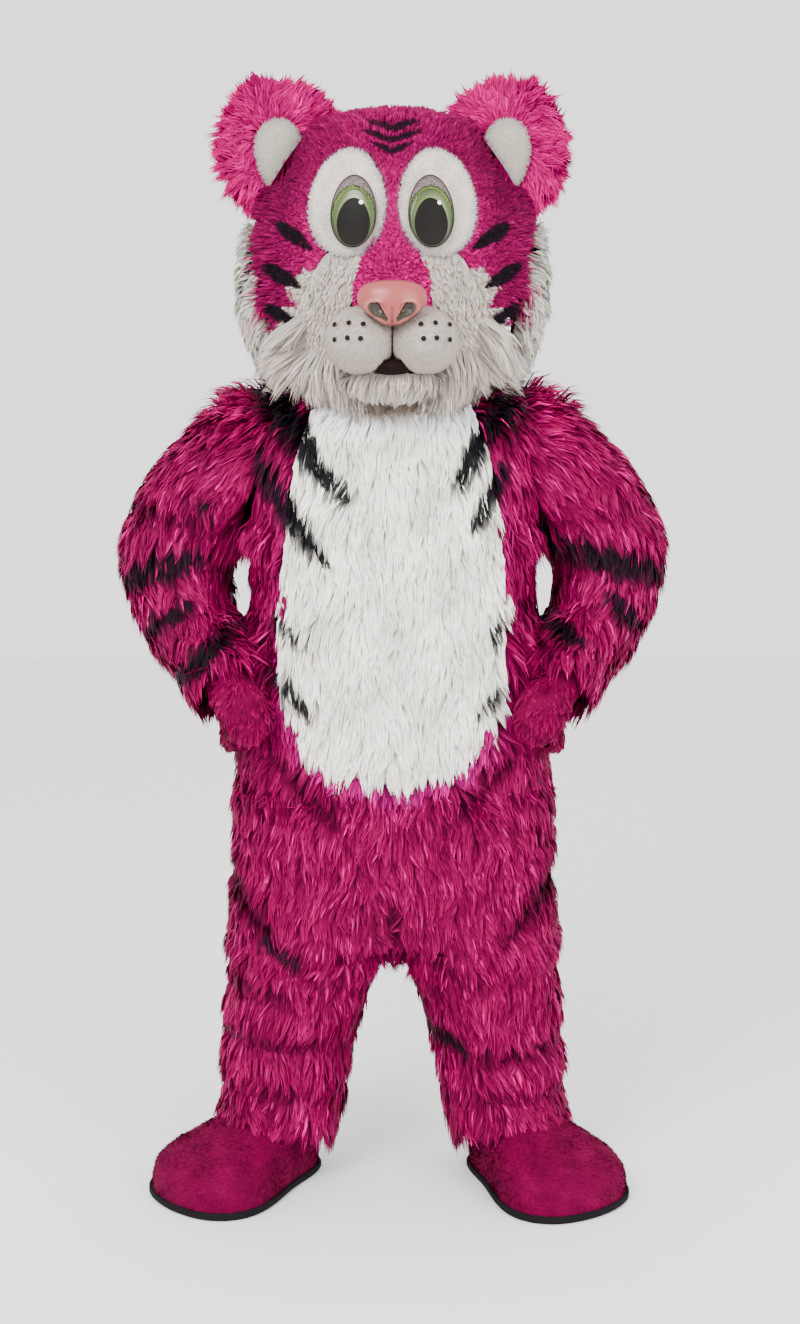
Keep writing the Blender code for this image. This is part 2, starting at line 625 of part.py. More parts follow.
def build_gloves(solids):
    """Each glove is a hollow mitt whose three fingers lie back along the hip."""
    places = [i / 8 for i in range(9)]
    for label, side in SIDES.items():
        bodies = []
        for depth in (0.0, SHORT_WALL):
            rings = []
            for at, (centre, up, over) in zip(places, path_frames(GLOVE, places)):
                rx = along_path(GLOVE, at, "rx") - depth
                ry = along_path(GLOVE, at, "ry") - depth
                ring = oval_ring(centre, rx, ry, over, up, GLOVE_COLUMNS)
                rings.append([clear_of_torso(p, REST_GAP + depth) for p in ring])
            tip = path_frames(GLOVE, [1.0])[0][0] + Vector((0.0, 0.010, -0.020 + depth))
            if depth:
                rings.insert(0, [p + (rings[0][i] - rings[1][i]) for i, p in enumerate(rings[0])])
            tip.x *= side
            body = closed_solid("glove", mirrored(rings, side), None, tip)
            block_rings = []
            for k in range(FINGERS["steps"] + 1):
                t = k / FINGERS["steps"]
                centre = Vector((FINGERS["x"] + FINGERS["swing"] * math.sin(t * FINGERS["curl"]),
                                 FINGERS["y"] + FINGERS["length"] * t, FINGERS["z"] + FINGERS["drop"] * t))
                centre = clear_of_torso(centre, REST_GAP + FINGERS["radius"])
                end = 1.0 - 0.55 * max(0.0, (t - 0.8) / 0.2) ** 2
                block_rings.append([centre + p for p in finger_outline(depth, end)])
            body = boolean(body, closed_solid("fingers", mirrored(block_rings, side)), "UNION")
            bodies.append(body)
        solids["glove_" + label] = boolean(bodies[0], bodies[1], "DIFFERENCE")


def foot_outline(grow, label):
    """The foot's outline on the floor, as points round it from the heel."""
    turn = math.radians(FOOT_TURN[label])
    ahead = Vector((math.sin(turn), -math.cos(turn), 0.0))
    across = Vector((math.cos(turn), math.sin(turn), 0.0))
    centre = Vector((ANKLE["x"], ANKLE["y"], 0.0))
    lengths = [row["along"] for row in FOOT]
    points = []
    for sign, order in ((1.0, FOOT), (-1.0, list(reversed(FOOT)))):
        for row in order:
            points.append(centre + ahead * row["along"] + across * row["half"] * sign)
    middle = centre + ahead * (lengths[0] + lengths[-1]) / 2
    return [p + (p - middle).normalized() * grow for p in points], centre


def foot_point(base, centre, t, depth, top):
    """A point of the foot cover's side, from its foot at t = 0 to the ankle's opening at t = 1."""
    out = base - centre
    reach = out.length
    rim = out.normalized() * ANKLE["radius"]
    f = 1.0 - math.cos(t * math.pi / 2) ** 0.8
    bulge = (1.0 - abs(1.0 - f) ** 2.6) ** (1 / 2.6)
    far = ease((reach - ANKLE["radius"]) / 0.10)
    toe = TOE_HEIGHT * far + top * 0.85 * (1.0 - far)
    height = toe * bulge + (top - toe) * ease((f - 0.45) / 0.55)
    flat = out.lerp(rim, f) * (1.0 + 0.035 * math.sin(math.pi * min(1.0, t * 1.6)) * (1.0 - f))
    flat = flat.normalized() * max(0.02, flat.length - depth * (1.0 - 0.75 * bulge))
    inner_drop = depth * (0.25 + 0.75 * bulge) if t < 0.999 else 0.0
    return centre + Vector((flat.x, flat.y, SOLE_THICK + SEAM + max(0.0, height - inner_drop)))


def build_feet(solids):
    """A soft upper that is open at the ankle, on a flat sole."""
    for label, side in SIDES.items():
        outline, centre = foot_outline(0.0, label)
        places = [i / FOOT_RINGS for i in range(FOOT_RINGS + 1)]
        top = ANKLE_RISE[label]
        outer = [[foot_point(p, centre, t, 0.0, top) for p in outline] for t in places]
        inner = [[foot_point(p, centre, t, SHORT_WALL, top) for p in outline] for t in places]
        solids["foot_upper_" + label] = wall_solid("upper", mirrored(outer, side), mirrored(inner, side), True)
        lip, _ = foot_outline(SOLE_LIP, label)
        low, _ = foot_outline(SOLE_LIP - SOLE_BEVEL, label)
        rings = [low, [p + Vector((0, 0, SOLE_BEVEL)) for p in lip], [p + Vector((0, 0, SOLE_THICK)) for p in lip]]
        solids["foot_sole_" + label] = closed_solid("sole", mirrored(rings, side))


def head_point(angle, z, depth):
    """A point of the head's shell. 0 degrees is the side at +X and -90 degrees the face."""
    def outer(a, h):
        rows = [look_up(HEAD, "z", h, k) for k in ("half", "front", "back")]
        low = HEAD[0]["z"]
        drop = RIM_DROP * math.sin(a) ** 4 * (1.0 - ease((h - low) / RIM_BLEND))
        return Vector((*on_oval(a, *rows, HEAD_POWER), h - drop))

    point = outer(angle, z)
    if depth == 0.0:
        return point
    low, high = max(HEAD[0]["z"], z - 0.004), min(HEAD[-1]["z"], z + 0.004)
    normal = (outer(angle + 0.02, z) - outer(angle - 0.02, z)).cross(outer(angle, high) - outer(angle, low))
    return point - normal.normalized() * depth


def head_volume(depth):
    """The head's closed body at a depth below its outer face."""
    rings = []
    for z in HEAD_HEIGHTS:
        rings.append([head_point(2 * math.pi * c / HEAD_COLUMNS, z, depth) for c in range(HEAD_COLUMNS)])
    low = Vector((0, 0, HEAD[0]["z"] - RIM_DROP / 2))
    return closed_solid("head_volume", rings, low, Vector((0, 0, HEAD_APEX - depth)))


def head_cavity():
    """The space inside the shell, which runs out of the neck."""
    angles = [2 * math.pi * c / HEAD_COLUMNS for c in range(HEAD_COLUMNS)]
    size = [NECK_HOLE[k] for k in ("half", "front", "back")]
    rings = [[Vector((*on_oval(a, *size, HEAD_POWER), NECK_HOLE[end])) for a in angles] for end in ("low", "high")]
    rings += [[head_point(a, z, HEAD_WALL) for a in angles] for z in HEAD_HEIGHTS[4:]]
    return closed_solid("head_cavity", rings, None, Vector((0, 0, HEAD_APEX - HEAD_WALL)))


def face_prism(outline, front=-0.45, back=-0.05):
    """A prism through the face from an outline of x and z."""
    rings = [[Vector((x, y, z)) for x, z in outline] for y in (front, back)]
    return closed_solid("prism", rings)


def oval_outline(spec, side, grow, count=24):
    """A tilted oval on the face, as x and z."""
    tilt = math.radians(spec["tilt"]) * side
    points = []
    for k in range(count):
        a = 2 * math.pi * k / count
        u = (spec["half_width"] + grow) * math.cos(a)
        v = (spec["half_height"] + grow) * math.sin(a)
        u *= 1.0 - 0.10 * math.sin(a)
        points.append((side * spec["x"] + u * math.cos(tilt) - v * math.sin(tilt),
                       spec["z"] + u * math.sin(tilt) + v * math.cos(tilt)))
    return points


def band_outline(table, grow, count=10):
    """An outline that is the same on both sides, from a table of half widths by height."""
    low, high = table[0]["z"], table[-1]["z"]
    heights = [low + (high - low) * k / count for k in range(count + 1)]
    right = [(look_up(table, "z", z, "half") + grow, z) for z in heights]
    right[0] = (right[0][0], low - grow)
    right[-1] = (right[-1][0], high + grow)
    return right + [(-x, z) for x, z in reversed(right)]


def block(name, low, high):
    """A box between two corners."""
    rings = []
    for z in (low[2], high[2]):
        rings.append([Vector((low[0], low[1], z)), Vector((high[0], low[1], z)), Vector((high[0], high[1], z)),
                      Vector((low[0], high[1], z))])
    return closed_solid(name, rings)


def other_half(side):
    """A block that takes away everything past the middle from a side's piece."""
    if side > 0:
        return block("other_half", (-0.5, -0.5, 1.2), (HALF_SEAM, 0.5, 2.0))
    return block("other_half", (-HALF_SEAM, -0.5, 1.2), (0.5, 0.5, 2.0))


def dish(spec, side, lift, thick, rings=2, count=18):
    """A domed oval plate in front of the face. lift is its front's distance before the eye's own dome."""
    grids = []
    for y_shift in (-lift, thick - lift):
        loops = []
        for r in range(rings, 0, -1):
            share = r / rings
            smaller = dict(spec, half_width=spec["half_width"] * share, half_height=spec["half_height"] * share)
            loops.append([Vector((x, eye_dome(abs(x), z) + y_shift, z))
                          for x, z in oval_outline(smaller, side, 0.0, count)])
        grids.append(loops)
    x, z = spec["x"], spec["z"]
    tips = [Vector((side * x, eye_dome(x, z) + y_shift, z)) for y_shift in (-lift, thick - lift)]
    return closed_solid("dish", list(reversed(grids[0])) + grids[1], tips[0], tips[1])


def face_depth(x, z):
    """The head shell's y at a place on the face."""
    half, front = (look_up(HEAD, "z", z, k) for k in ("half", "front"))
    return -front * max(0.0, 1.0 - (x / half) ** HEAD_POWER) ** (1 / HEAD_POWER)


def eye_dome(x, z):
    """The y of the eye's domed front, which leans back towards the temple."""
    dx, dz = x - EYE["x"], z - EYE["z"]
    round_off = (dx / EYE["half_width"]) ** 2 + (dz / EYE["half_height"]) ** 2
    base = face_depth(EYE["x"], EYE["z"]) - EYE["stand"] + EYE["lean_side"] * dx + EYE["lean_up"] * dz
    return base - EYE["bulge"] * (1.0 - min(1.0, round_off))


def ellipsoid(spec, side=1.0, grow=0.0, columns=18, rows=9):
    """A rounded pad."""
    centre = Vector((side * spec["x"], spec["y"], spec["z"]))
    rx, ry, rz = (spec[k] + grow for k in ("rx", "ry", "rz"))
    rings = []
    for r in range(1, rows):
        e = math.pi * (r / rows - 0.5)
        ring = []
        for c in range(columns):
            a = 2 * math.pi * c / columns
            reach = Vector((rx * math.cos(e) * math.cos(a), ry * math.cos(e) * math.sin(a), rz * math.sin(e)))
            ring.append(centre + reach)
        rings.append(ring)
    return closed_solid("pad", rings, centre - Vector((0, 0, rz)), centre + Vector((0, 0, rz)))


def nose_solid(rows=8, columns=16):
    """The nose pad: wide on top, narrow below, with a rounded front."""
    rings = []
    for r in range(1, rows):
        e = math.pi * (r / rows - 0.5)
        height = math.sin(e)
        wide = 0.80 + 0.20 * ease((height + 0.75) / 1.1)
        k = math.cos(e) ** 0.62
        ring = []
        for c in range(columns):
            a = 2 * math.pi * c / columns
            ring.append(Vector((NOSE["rx"] * wide * k * math.cos(a), NOSE["y"] + NOSE["ry"] * k * math.sin(a),
                                NOSE["z"] + NOSE["rz"] * math.copysign(abs(height) ** 0.85, height))))
        rings.append(ring)
    return closed_solid("nose", rings, Vector((0, NOSE["y"], NOSE["z"] - NOSE["rz"])),
                        Vector((0, NOSE["y"], NOSE["z"] + NOSE["rz"])))


def build_head_shell(solids):
    """The shell is cut into the panels that a maker covers: back, cheeks, bridge, eye patches and jaw."""
    shell = boolean(head_volume(0.0), head_cavity(), "DIFFERENCE")
    back = duplicate(shell, "back")
    boolean(back, block("front_half", (-0.5, -0.5, 1.2), (0.5, HALF_SEAM, 2.0)), "DIFFERENCE")
    solids["head_back"] = back
    front = boolean(shell, block("back_half", (-0.5, -HALF_SEAM, 1.2), (0.5, 0.5, 2.0)), "DIFFERENCE")
    patches = {label: face_prism(oval_outline(EYE_PATCH, side, 0.0)) for label, side in SIDES.items()}
    patch_cuts = [face_prism(oval_outline(EYE_PATCH, side, SEAM)) for side in SIDES.values()]
    bridge_cut = face_prism(band_outline(BRIDGE, SEAM), back=0.1)
    jaw_cut = face_prism(band_outline(JAW, SEAM), back=0.1)
    for label, side in SIDES.items():
        patch = boolean(duplicate(front, "patch"), patches[label], "INTERSECT")
        solids["eye_patch_" + label] = patch
    bridge = boolean(duplicate(front, "bridge"), face_prism(band_outline(BRIDGE, 0.0), back=0.1), "INTERSECT")
    jaw = boolean(duplicate(front, "jaw"), face_prism(band_outline(JAW, 0.0), back=0.1), "INTERSECT")
    for cut in patch_cuts:
        boolean(bridge, cut, "DIFFERENCE")
        boolean(jaw, cut, "DIFFERENCE")
    boolean(jaw, bridge_cut, "DIFFERENCE")
    solids["face_bridge"] = bridge
    solids["face_jaw"] = jaw
    for label, side in SIDES.items():
        cheek = duplicate(front, "cheek")
        boolean(cheek, other_half(side), "DIFFERENCE")
        for cut in patch_cuts + [bridge_cut, jaw_cut]:
            boolean(cheek, cut, "DIFFERENCE")
        solids["face_cheek_" + label] = cheek


def build_face(solids):
    """Eyes, muzzle pads, chin, mouth and nose, each clear of what it lies on."""
    trim = head_volume(-FACE_GAP)
    for label, side in SIDES.items():
        solids["eye_mesh_" + label] = dish(EYE, side, 0.0, EYE_THICK)
        for layer in EYE_LAYERS:
            spec = dict(EYE, half_width=EYE["half_width"] * layer["wide"], z=EYE["z"] - layer["drop"],
                        half_height=EYE["half_height"] * layer["high"])
            solids[layer["name"] + label] = dish(spec, side, layer["lift"], layer["thick"])
    muzzles = {label: ellipsoid(MUZZLE, side) for label, side in SIDES.items()}
    mouth = ellipsoid(MOUTH, columns=14, rows=7)
    chin = ellipsoid(CHIN, columns=16, rows=7)
    muzzle_cuts = [ellipsoid(MUZZLE, side, SEAM) for side in SIDES.values()]
    boolean(mouth, trim, "DIFFERENCE")
    boolean(chin, trim, "DIFFERENCE")
    for cut in muzzle_cuts:
        boolean(mouth, cut, "DIFFERENCE")
        boolean(chin, cut, "DIFFERENCE")
    boolean(chin, ellipsoid(MOUTH, grow=SEAM, columns=14, rows=7), "DIFFERENCE")
    nose = nose_solid()
    for side in SIDES.values():
        boolean(nose, ellipsoid(NOSTRIL, side, columns=12, rows=6), "DIFFERENCE")
    for cut in muzzle_cuts:
        boolean(nose, cut, "DIFFERENCE")
    boolean(nose, trim, "DIFFERENCE")
    for label, side in SIDES.items():
        boolean(muzzles[label], other_half(side), "DIFFERENCE")
        boolean(muzzles[label], trim, "DIFFERENCE")
        solids["muzzle_" + label] = muzzles[label]
    solids["mouth_liner"] = mouth
    solids["chin"] = chin
    solids["nose"] = nose


def build_ears(solids):
    """A round dished ear stands on each side of the crown and carries a lining panel."""
    trim = head_volume(-SEAM)
    columns = 22
    for label, side in SIDES.items():
        turn = Matrix.Rotation(math.radians(-EAR["turn"]) * side, 4, "Z")
        centre = Vector((EAR["x"] * side, EAR["y"], EAR["z"]))

        def ear_ring(share, y):
            ring = []
            for c in range(columns):
                a = 2 * math.pi * c / columns
                drop = EAR_DROP * max(0.0, math.cos(a + math.radians(60.0))) ** 2 * share
                reach = EAR["radius"] * share + drop
                ring.append(centre + turn @ Vector((side * reach * math.cos(a), y, reach * math.sin(a))))
            return ring

        front = -EAR["front"]
        profile = [(0.50, front + EAR_DISH), (0.70, front + EAR_DISH * 0.55), (0.86, front), (0.96, front * 0.55),
                   (1.0, 0.0), (0.95, EAR["back"] * 0.55), (0.80, EAR["back"] * 0.90), (0.50, EAR["back"])]
        rings = [ear_ring(share, y) for share, y in profile]
        low = centre + turn @ Vector((0, front + EAR_DISH, 0))
        high = centre + turn @ Vector((0, EAR["back"], 0))
        ear = closed_solid("ear", rings, low, high)
        solids["ear_" + label] = boolean(ear, trim, "DIFFERENCE")
        lining_rings = []
        for y, share in ((front + EAR_DISH * 0.30, 1.0), (front - 0.002, 0.90)):
            ring = []
            for c in range(columns):
                a = 2 * math.pi * c / columns
                wide = 1.0 - 0.22 * math.sin(a + math.radians(180.0))
                x = INNER_EAR["x"] + INNER_EAR["half_width"] * share * wide * math.cos(a)
                z = INNER_EAR["z"] + INNER_EAR["half_height"] * share * math.sin(a)
                ring.append(centre + turn @ Vector((side * x, y, z)))
            lining_rings.append(ring)
        lining = closed_solid("lining", lining_rings)
        boolean(lining, trim, "DIFFERENCE")
        grown = [[p + (p - centre).normalized() * SEAM + Vector((0, -SEAM, 0)) for p in ring] for ring in rings]
        ear_cut = closed_solid("ear_cut", grown, low + Vector((0, -SEAM, 0)), high)
        solids["ear_lining_" + label] = boolean(lining, ear_cut, "DIFFERENCE")


def build_ruffs(solids):
    """A cheek ruff of long fur lies on each side of the head, thickest along its middle."""
    trim = head_volume(-RUFF_GAP)
    for label, side in SIDES.items():
        outer, inner = [], []
        rows, columns = 10, 7
        for r in range(rows + 1):
            t = r / rows
            z = RUFF["low"] + (RUFF["high"] - RUFF["low"]) * t
            outer_row, inner_row = [], []
            for c in range(columns + 1):
                s = c / columns
                lean = 14.0 * (1.0 - t) - 4.0
                narrow = 0.45 + 0.55 * math.sin(math.pi * min(1.0, 0.12 + 0.88 * (1.0 - t))) ** 0.6
                middle = (RUFF["from"] + RUFF["to"]) / 2 - lean
                angle = math.radians(middle + (s - 0.5) * (RUFF["to"] - RUFF["from"]) * narrow)
                body = math.sin(math.pi * (0.06 + 0.88 * s)) ** 0.8
                ends = math.sin(math.pi * (0.10 + 0.80 * t)) ** 0.5
                tuft = 1.0 + 0.16 * math.sin(9.0 * t * math.pi + 2.0 * s)
                outer_row.append(head_point(angle, z, -(SEAM + 0.004 + RUFF["reach"] * body * ends * tuft)))
                inner_row.append(head_point(angle, z, HEAD_WALL / 2))
            outer.append(outer_row)
            inner.append(inner_row)
        solids["ruff_" + label] = wall_solid("ruff", mirrored(outer, side), mirrored(inner, side))
        boolean(solids["ruff_" + label], trim, "DIFFERENCE")


SLOTS = {
    "suit_front": "fur_magenta", "suit_back": "fur_magenta", "suit_belly": "fur_white", "back_zip": "zip_tape",
    "sleeve": "fur_magenta", "glove": "pile_magenta", "foot_upper": "pile_magenta", "foot_sole": "sole_black",
    "head_back": "fur_magenta", "eye_patch": "pile_white", "face_bridge": "pile_magenta", "face_jaw": "pile_white",
    "face_cheek": "pile_magenta", "eye_mesh": "eye_mesh", "eye_iris": "eye_green", "eye_pupil": "eye_black",
    "muzzle": "pile_white", "mouth_liner": "mouth_dark", "chin": "fur_white", "nose": "nose_vinyl",
    "ear_lining": "ear_lining", "ear": "fur_magenta", "ruff": "fur_white",
}


def slot_of(name):
    """The material slot of a node, by the longest matching start of its name."""
    return SLOTS[max((key for key in SLOTS if name.startswith(key)), key=len)]


for old in list(bpy.data.objects):
    bpy.data.objects.remove(old, do_unlink=True)
COSTUME = bpy.data.collections.new("tiger_mascot_costume")
CUTTERS = bpy.data.collections.new("cutters")
bpy.context.scene.collection.children.link(COSTUME)
bpy.context.scene.collection.children.link(CUTTERS)
STAND = bpy.data.objects.new("stand", None)
STAND.location = (0.0, 0.0, -HOLD_HEIGHT)
COSTUME.objects.link(STAND)

pieces = build_suit_body()
build_sleeves(pieces)
build_gloves(pieces)
build_feet(pieces)
build_head_shell(pieces)
build_face(pieces)
build_ears(pieces)
build_ruffs(pieces)
for piece_name, solid in pieces.items():
    keep(solid, piece_name, slot_of(piece_name))
for spare in list(CUTTERS.objects):
    bpy.data.objects.remove(spare, do_unlink=True)
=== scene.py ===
"""Tiger mascot costume: the fur suit, head, gloves and foot covers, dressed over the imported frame.

Lengths are in metres and colours are linear. Tables give heights above the floor, and HOLD is the origin's
height above it. The wearer faces -Y, and left is the wearer's left, at +X.
"""
import math

import bmesh
import bpy
import numpy as np
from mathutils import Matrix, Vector, kdtree
from mathutils.bvhtree import BVHTree


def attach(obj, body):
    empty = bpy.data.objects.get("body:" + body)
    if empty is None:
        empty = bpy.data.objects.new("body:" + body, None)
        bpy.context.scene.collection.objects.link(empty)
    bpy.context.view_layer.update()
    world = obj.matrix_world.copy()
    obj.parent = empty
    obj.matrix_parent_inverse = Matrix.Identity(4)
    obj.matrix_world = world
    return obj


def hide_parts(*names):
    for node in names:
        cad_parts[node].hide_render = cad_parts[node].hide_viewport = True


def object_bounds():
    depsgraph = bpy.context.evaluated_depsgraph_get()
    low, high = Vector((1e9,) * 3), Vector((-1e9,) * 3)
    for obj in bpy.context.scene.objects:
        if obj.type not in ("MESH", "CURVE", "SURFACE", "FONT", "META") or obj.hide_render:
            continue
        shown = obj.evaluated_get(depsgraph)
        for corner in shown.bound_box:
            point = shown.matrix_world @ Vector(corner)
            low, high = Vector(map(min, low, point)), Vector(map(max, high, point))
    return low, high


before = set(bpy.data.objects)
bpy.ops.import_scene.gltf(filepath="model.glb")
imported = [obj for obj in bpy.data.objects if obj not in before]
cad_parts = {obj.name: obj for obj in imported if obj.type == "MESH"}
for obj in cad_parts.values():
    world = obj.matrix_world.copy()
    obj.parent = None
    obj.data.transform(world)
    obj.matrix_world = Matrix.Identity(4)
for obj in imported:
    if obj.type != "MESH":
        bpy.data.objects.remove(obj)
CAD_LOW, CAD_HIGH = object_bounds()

HOLD = -CAD_LOW[2]
SIDES = {"left": 1.0, "right": -1.0}

MAGENTA = (0.165, 0.0001, 0.040)
# Painted highlight: the lighter magenta of some strands in the long fur.
MAGENTA_HIGHLIGHT = (0.46, 0.002, 0.145)
# Painted shade: the dark backing under the magenta fur, where only shadow shows between strands.
MAGENTA_GAP_SHADE = (0.030, 0.0001, 0.007)
# Painted highlight: the light pink of the magenta fur's fringe along the belly's edge.
FRINGE_HIGHLIGHT_PINK = (0.44, 0.003, 0.165)
HEAD_PINK = (0.36, 0.0004, 0.098)
# Painted highlight on some strands of the head's fur and some blades of the face.
HEAD_HIGHLIGHT = (0.50, 0.004, 0.165)
FACE_PINK = (0.27, 0.0003, 0.075)
# WHITE is the belly's white, and also the painted highlight on some blades of the eye patches.
WHITE = (0.86, 0.83, 0.755)
# Painted highlight on some strands of the belly's white fur.
WHITE_HIGHLIGHT = (0.93, 0.915, 0.87)
# Painted shade: the darker backing under the belly's white fur.
WHITE_GAP_SHADE = (0.50, 0.48, 0.44)
FACE_WHITE = (0.44, 0.378, 0.330)
# FACE_LIGHT is the eye patches' white, and also the painted highlight on some blades of the jaw.
FACE_LIGHT = (0.62, 0.55, 0.49)
RUFF_WHITE = (0.49, 0.450, 0.400)
# Painted shade on the muzzle pads' edges.
MUZZLE_EDGE_SHADE = (0.30, 0.24, 0.20)
LINING_PALE = (0.48, 0.455, 0.375)
AIRBRUSH = (0.13, 0.11, 0.17)
STRIPE = (0.005, 0.0038, 0.006)
NOSE_PINK = (0.30, 0.050, 0.046)
# Painted highlight round the nostrils.
NOSE_HIGHLIGHT = (0.42, 0.120, 0.100)
# Painted shade where the nose turns away from the front.
NOSE_SIDE_SHADE = (0.25, 0.045, 0.050)
NOSE_GROOVE = (0.14, 0.03, 0.03)
NOSTRIL = (0.024, 0.014, 0.006)
MOUTH_DARK = (0.010, 0.005, 0.005)
MESH_GREY = (0.125, 0.100, 0.095)
MESH_EDGE = (0.06, 0.05, 0.05)
IRIS_GREEN = (0.105, 0.145, 0.022)
IRIS_DEEP = (0.040, 0.070, 0.014)
IRIS_EDGE = (0.012, 0.020, 0.006)
PUPIL_BLACK = (0.005, 0.004, 0.0035)
PUPIL_LOW = (0.012, 0.009, 0.007)
SOLE_BLACK = (0.008, 0.007, 0.008)
ZIP_DARK = (0.10, 0.001, 0.03, 1.0)
ZIP_LIGHT = (0.24, 0.004, 0.07, 1.0)
GLINT_WHITE = (0.95, 0.95, 0.95, 1.0)
THREAD_BLACK = (0.010, 0.008, 0.008, 1.0)
RIM_BROWN = (0.045, 0.030, 0.028, 1.0)
FLOOR_PALE = (0.90, 0.90, 0.90, 1.0)
MAGENTA_GLEAM = (1.0, 0.30, 0.62, 1.0)
PLAIN_GLEAM = (1.0, 1.0, 1.0, 1.0)

# Where the frame's parts lie, the thickest wall under long fur, and how the suit's cloth lies on its solids.
LEG_MIDDLE = 0.19
CROTCH_TOP = 0.640
LEG_BLEND = 0.15
SHOULDER = 1.25
HEAD_MIDDLE = 1.60
EAR = {"x": 0.181, "y": 0.002, "z": 1.796}
EYE_PATCH = {"x": 0.0715, "z": 1.660}
EYE = {"x": 0.0605, "z": 1.657, "half_width": 0.036, "half_height": 0.057, "tilt": 2.0}
WRIST = {"x": 0.307, "y": -0.084, "z": 0.938}
GLOVE_WAY = (-0.415, -0.751, -0.514)
ANKLE = {"x": 0.207, "y": 0.002}
FOOT_TURN = {"left": 35.0, "right": 45.0}
FOOT_REACH = 0.15
FOOT_MIDDLE = 0.045
LONG_WALL = 0.030
BACKING_THICK = 0.0018
BELLY_DEPTH = 0.012

CAMERA = {"x": 0.012, "y": -3.2, "z": -0.035, "pitch": 82.33, "lens": 50.85, "sensor": 36.0}
LIGHTS = [
    {"name": "key", "place": (-1.6, -3.0, 2.2), "size": 1.6, "power": 185.0},
    {"name": "fill", "place": (2.2, -2.6, 1.0), "size": 2.0, "power": 80.0},
]
LIGHTS_AIM = (0.0, 0.0, -0.4)
SKY_STRENGTH = 1.95

# The arm's middle line, for the arm at +X.
ARM = np.array([
    (0.180, 0.002, 1.276),
    (0.266, 0.012, 1.255),
    (0.323, 0.028, 1.204),
    (0.361, 0.036, 1.138),
    (0.373, 0.027, 1.072),
    (0.356, 0.000, 1.014),
    (0.328, -0.044, 0.966),
    (0.304, -0.092, 0.932),
    (0.285, -0.126, 0.904),
])

LINE = ("x0", "z0", "x1", "z1", "wide")


def lines(face, rows, mirrored=False):
    """Lines by the place and height of both ends. face is -1 in front and 1 behind."""
    made = [dict(zip(LINE, row), face=face) for row in rows]
    if mirrored:
        made += [dict(row, x0=-row["x0"], x1=-row["x1"]) for row in made]
    return made


# Stripes in the long fur: the chest and belly, the arms and the legs in front, and then those behind.
STRIPES = lines(-1, [
    (-0.226, 1.396, -0.136, 1.290, 0.0230),
    (-0.175, 1.314, -0.073, 1.200, 0.0155),
    (-0.228, 1.298, -0.180, 1.232, 0.0080),
    (-0.219, 1.257, -0.108, 1.100, 0.0155),
    (-0.194, 1.010, -0.140, 0.958, 0.0090),
    (-0.190, 0.914, -0.135, 0.846, 0.0110),
    (0.206, 1.392, 0.150, 1.303, 0.0180),
    (0.156, 1.326, 0.104, 1.222, 0.0155),
    (0.228, 1.374, 0.183, 1.294, 0.0080),
    (0.180, 1.260, 0.132, 1.152, 0.0130),
    (0.180, 1.010, 0.163, 0.960, 0.0080),
    (0.182, 0.890, 0.138, 0.846, 0.0100),
    (-0.452, 1.062, -0.322, 1.106, 0.0190),
    (-0.412, 0.978, -0.338, 1.020, 0.0134),
    (-0.355, 0.904, -0.272, 0.976, 0.0146),
    (-0.322, 1.196, -0.304, 1.176, 0.0112),
    (0.250, 1.148, 0.300, 1.110, 0.0174),
    (0.296, 1.118, 0.450, 1.072, 0.0190),
    (0.360, 1.036, 0.410, 0.984, 0.0134),
    (0.240, 1.008, 0.312, 0.962, 0.0130),
    (-0.216, 0.455, -0.160, 0.415, 0.011),
    (0.052, 0.294, 0.128, 0.260, 0.014),
]) + lines(1, [
    (-0.245, 1.120, -0.085, 1.050, 0.015),
    (0.245, 1.110, 0.095, 1.035, 0.015),
    (-0.255, 0.940, -0.110, 0.880, 0.014),
    (0.255, 0.930, 0.105, 0.865, 0.014),
    (-0.280, 0.700, -0.150, 0.640, 0.014),
    (0.280, 0.690, 0.155, 0.625, 0.014),
    (-0.430, 1.130, -0.320, 1.080, 0.013),
    (0.430, 1.125, 0.320, 1.075, 0.013),
]) + lines(1, [
    (0.245, 1.290, 0.060, 1.215, 0.016),
    (0.200, 1.700, 0.060, 1.665, 0.014),
    (0.200, 1.580, 0.080, 1.545, 0.014),
], mirrored=True)

# Where the suit folds over itself: the cloth dips along these lines, and the fur under them is painted in
# shade.
FOLDS = lines(-1, [
    (-0.305, 0.610, -0.190, 0.432, 0.022),
    (-0.300, 0.378, -0.155, 0.346, 0.012),
    (-0.300, 0.284, -0.105, 0.262, 0.016),
    (-0.290, 0.190, -0.120, 0.176, 0.012),
    (0.305, 0.610, 0.185, 0.446, 0.022),
    (0.060, 0.424, 0.160, 0.368, 0.012),
    (0.125, 0.234, 0.300, 0.272, 0.016),
    (0.120, 0.168, 0.295, 0.184, 0.012),
    (0.000, 0.540, 0.000, 0.450, 0.016),
    (-0.460, 1.192, -0.285, 1.144, 0.014),
    (0.460, 1.200, 0.300, 1.160, 0.012),
]) + lines(-1, [
    (0.205, 0.790, 0.080, 0.655, 0.016),
], mirrored=True) + lines(1, [
    (0.300, 0.600, 0.190, 0.450, 0.018),
    (0.300, 0.284, 0.105, 0.262, 0.014),
], mirrored=True)

# Plain stripes on the face, the same on both sides: three wedges on each cheek, three chevrons on the brow.
FACE_STRIPES = lines(-1, [
    (0.182, 1.642, 0.128, 1.602, 0.0112),
    (0.202, 1.578, 0.148, 1.544, 0.0118),
    (0.205, 1.514, 0.152, 1.486, 0.0110),
    (-0.004, 1.752, 0.034, 1.769, 0.0058),
    (-0.004, 1.771, 0.048, 1.791, 0.0064),
    (-0.004, 1.791, 0.044, 1.810, 0.0070),
], mirrored=True)

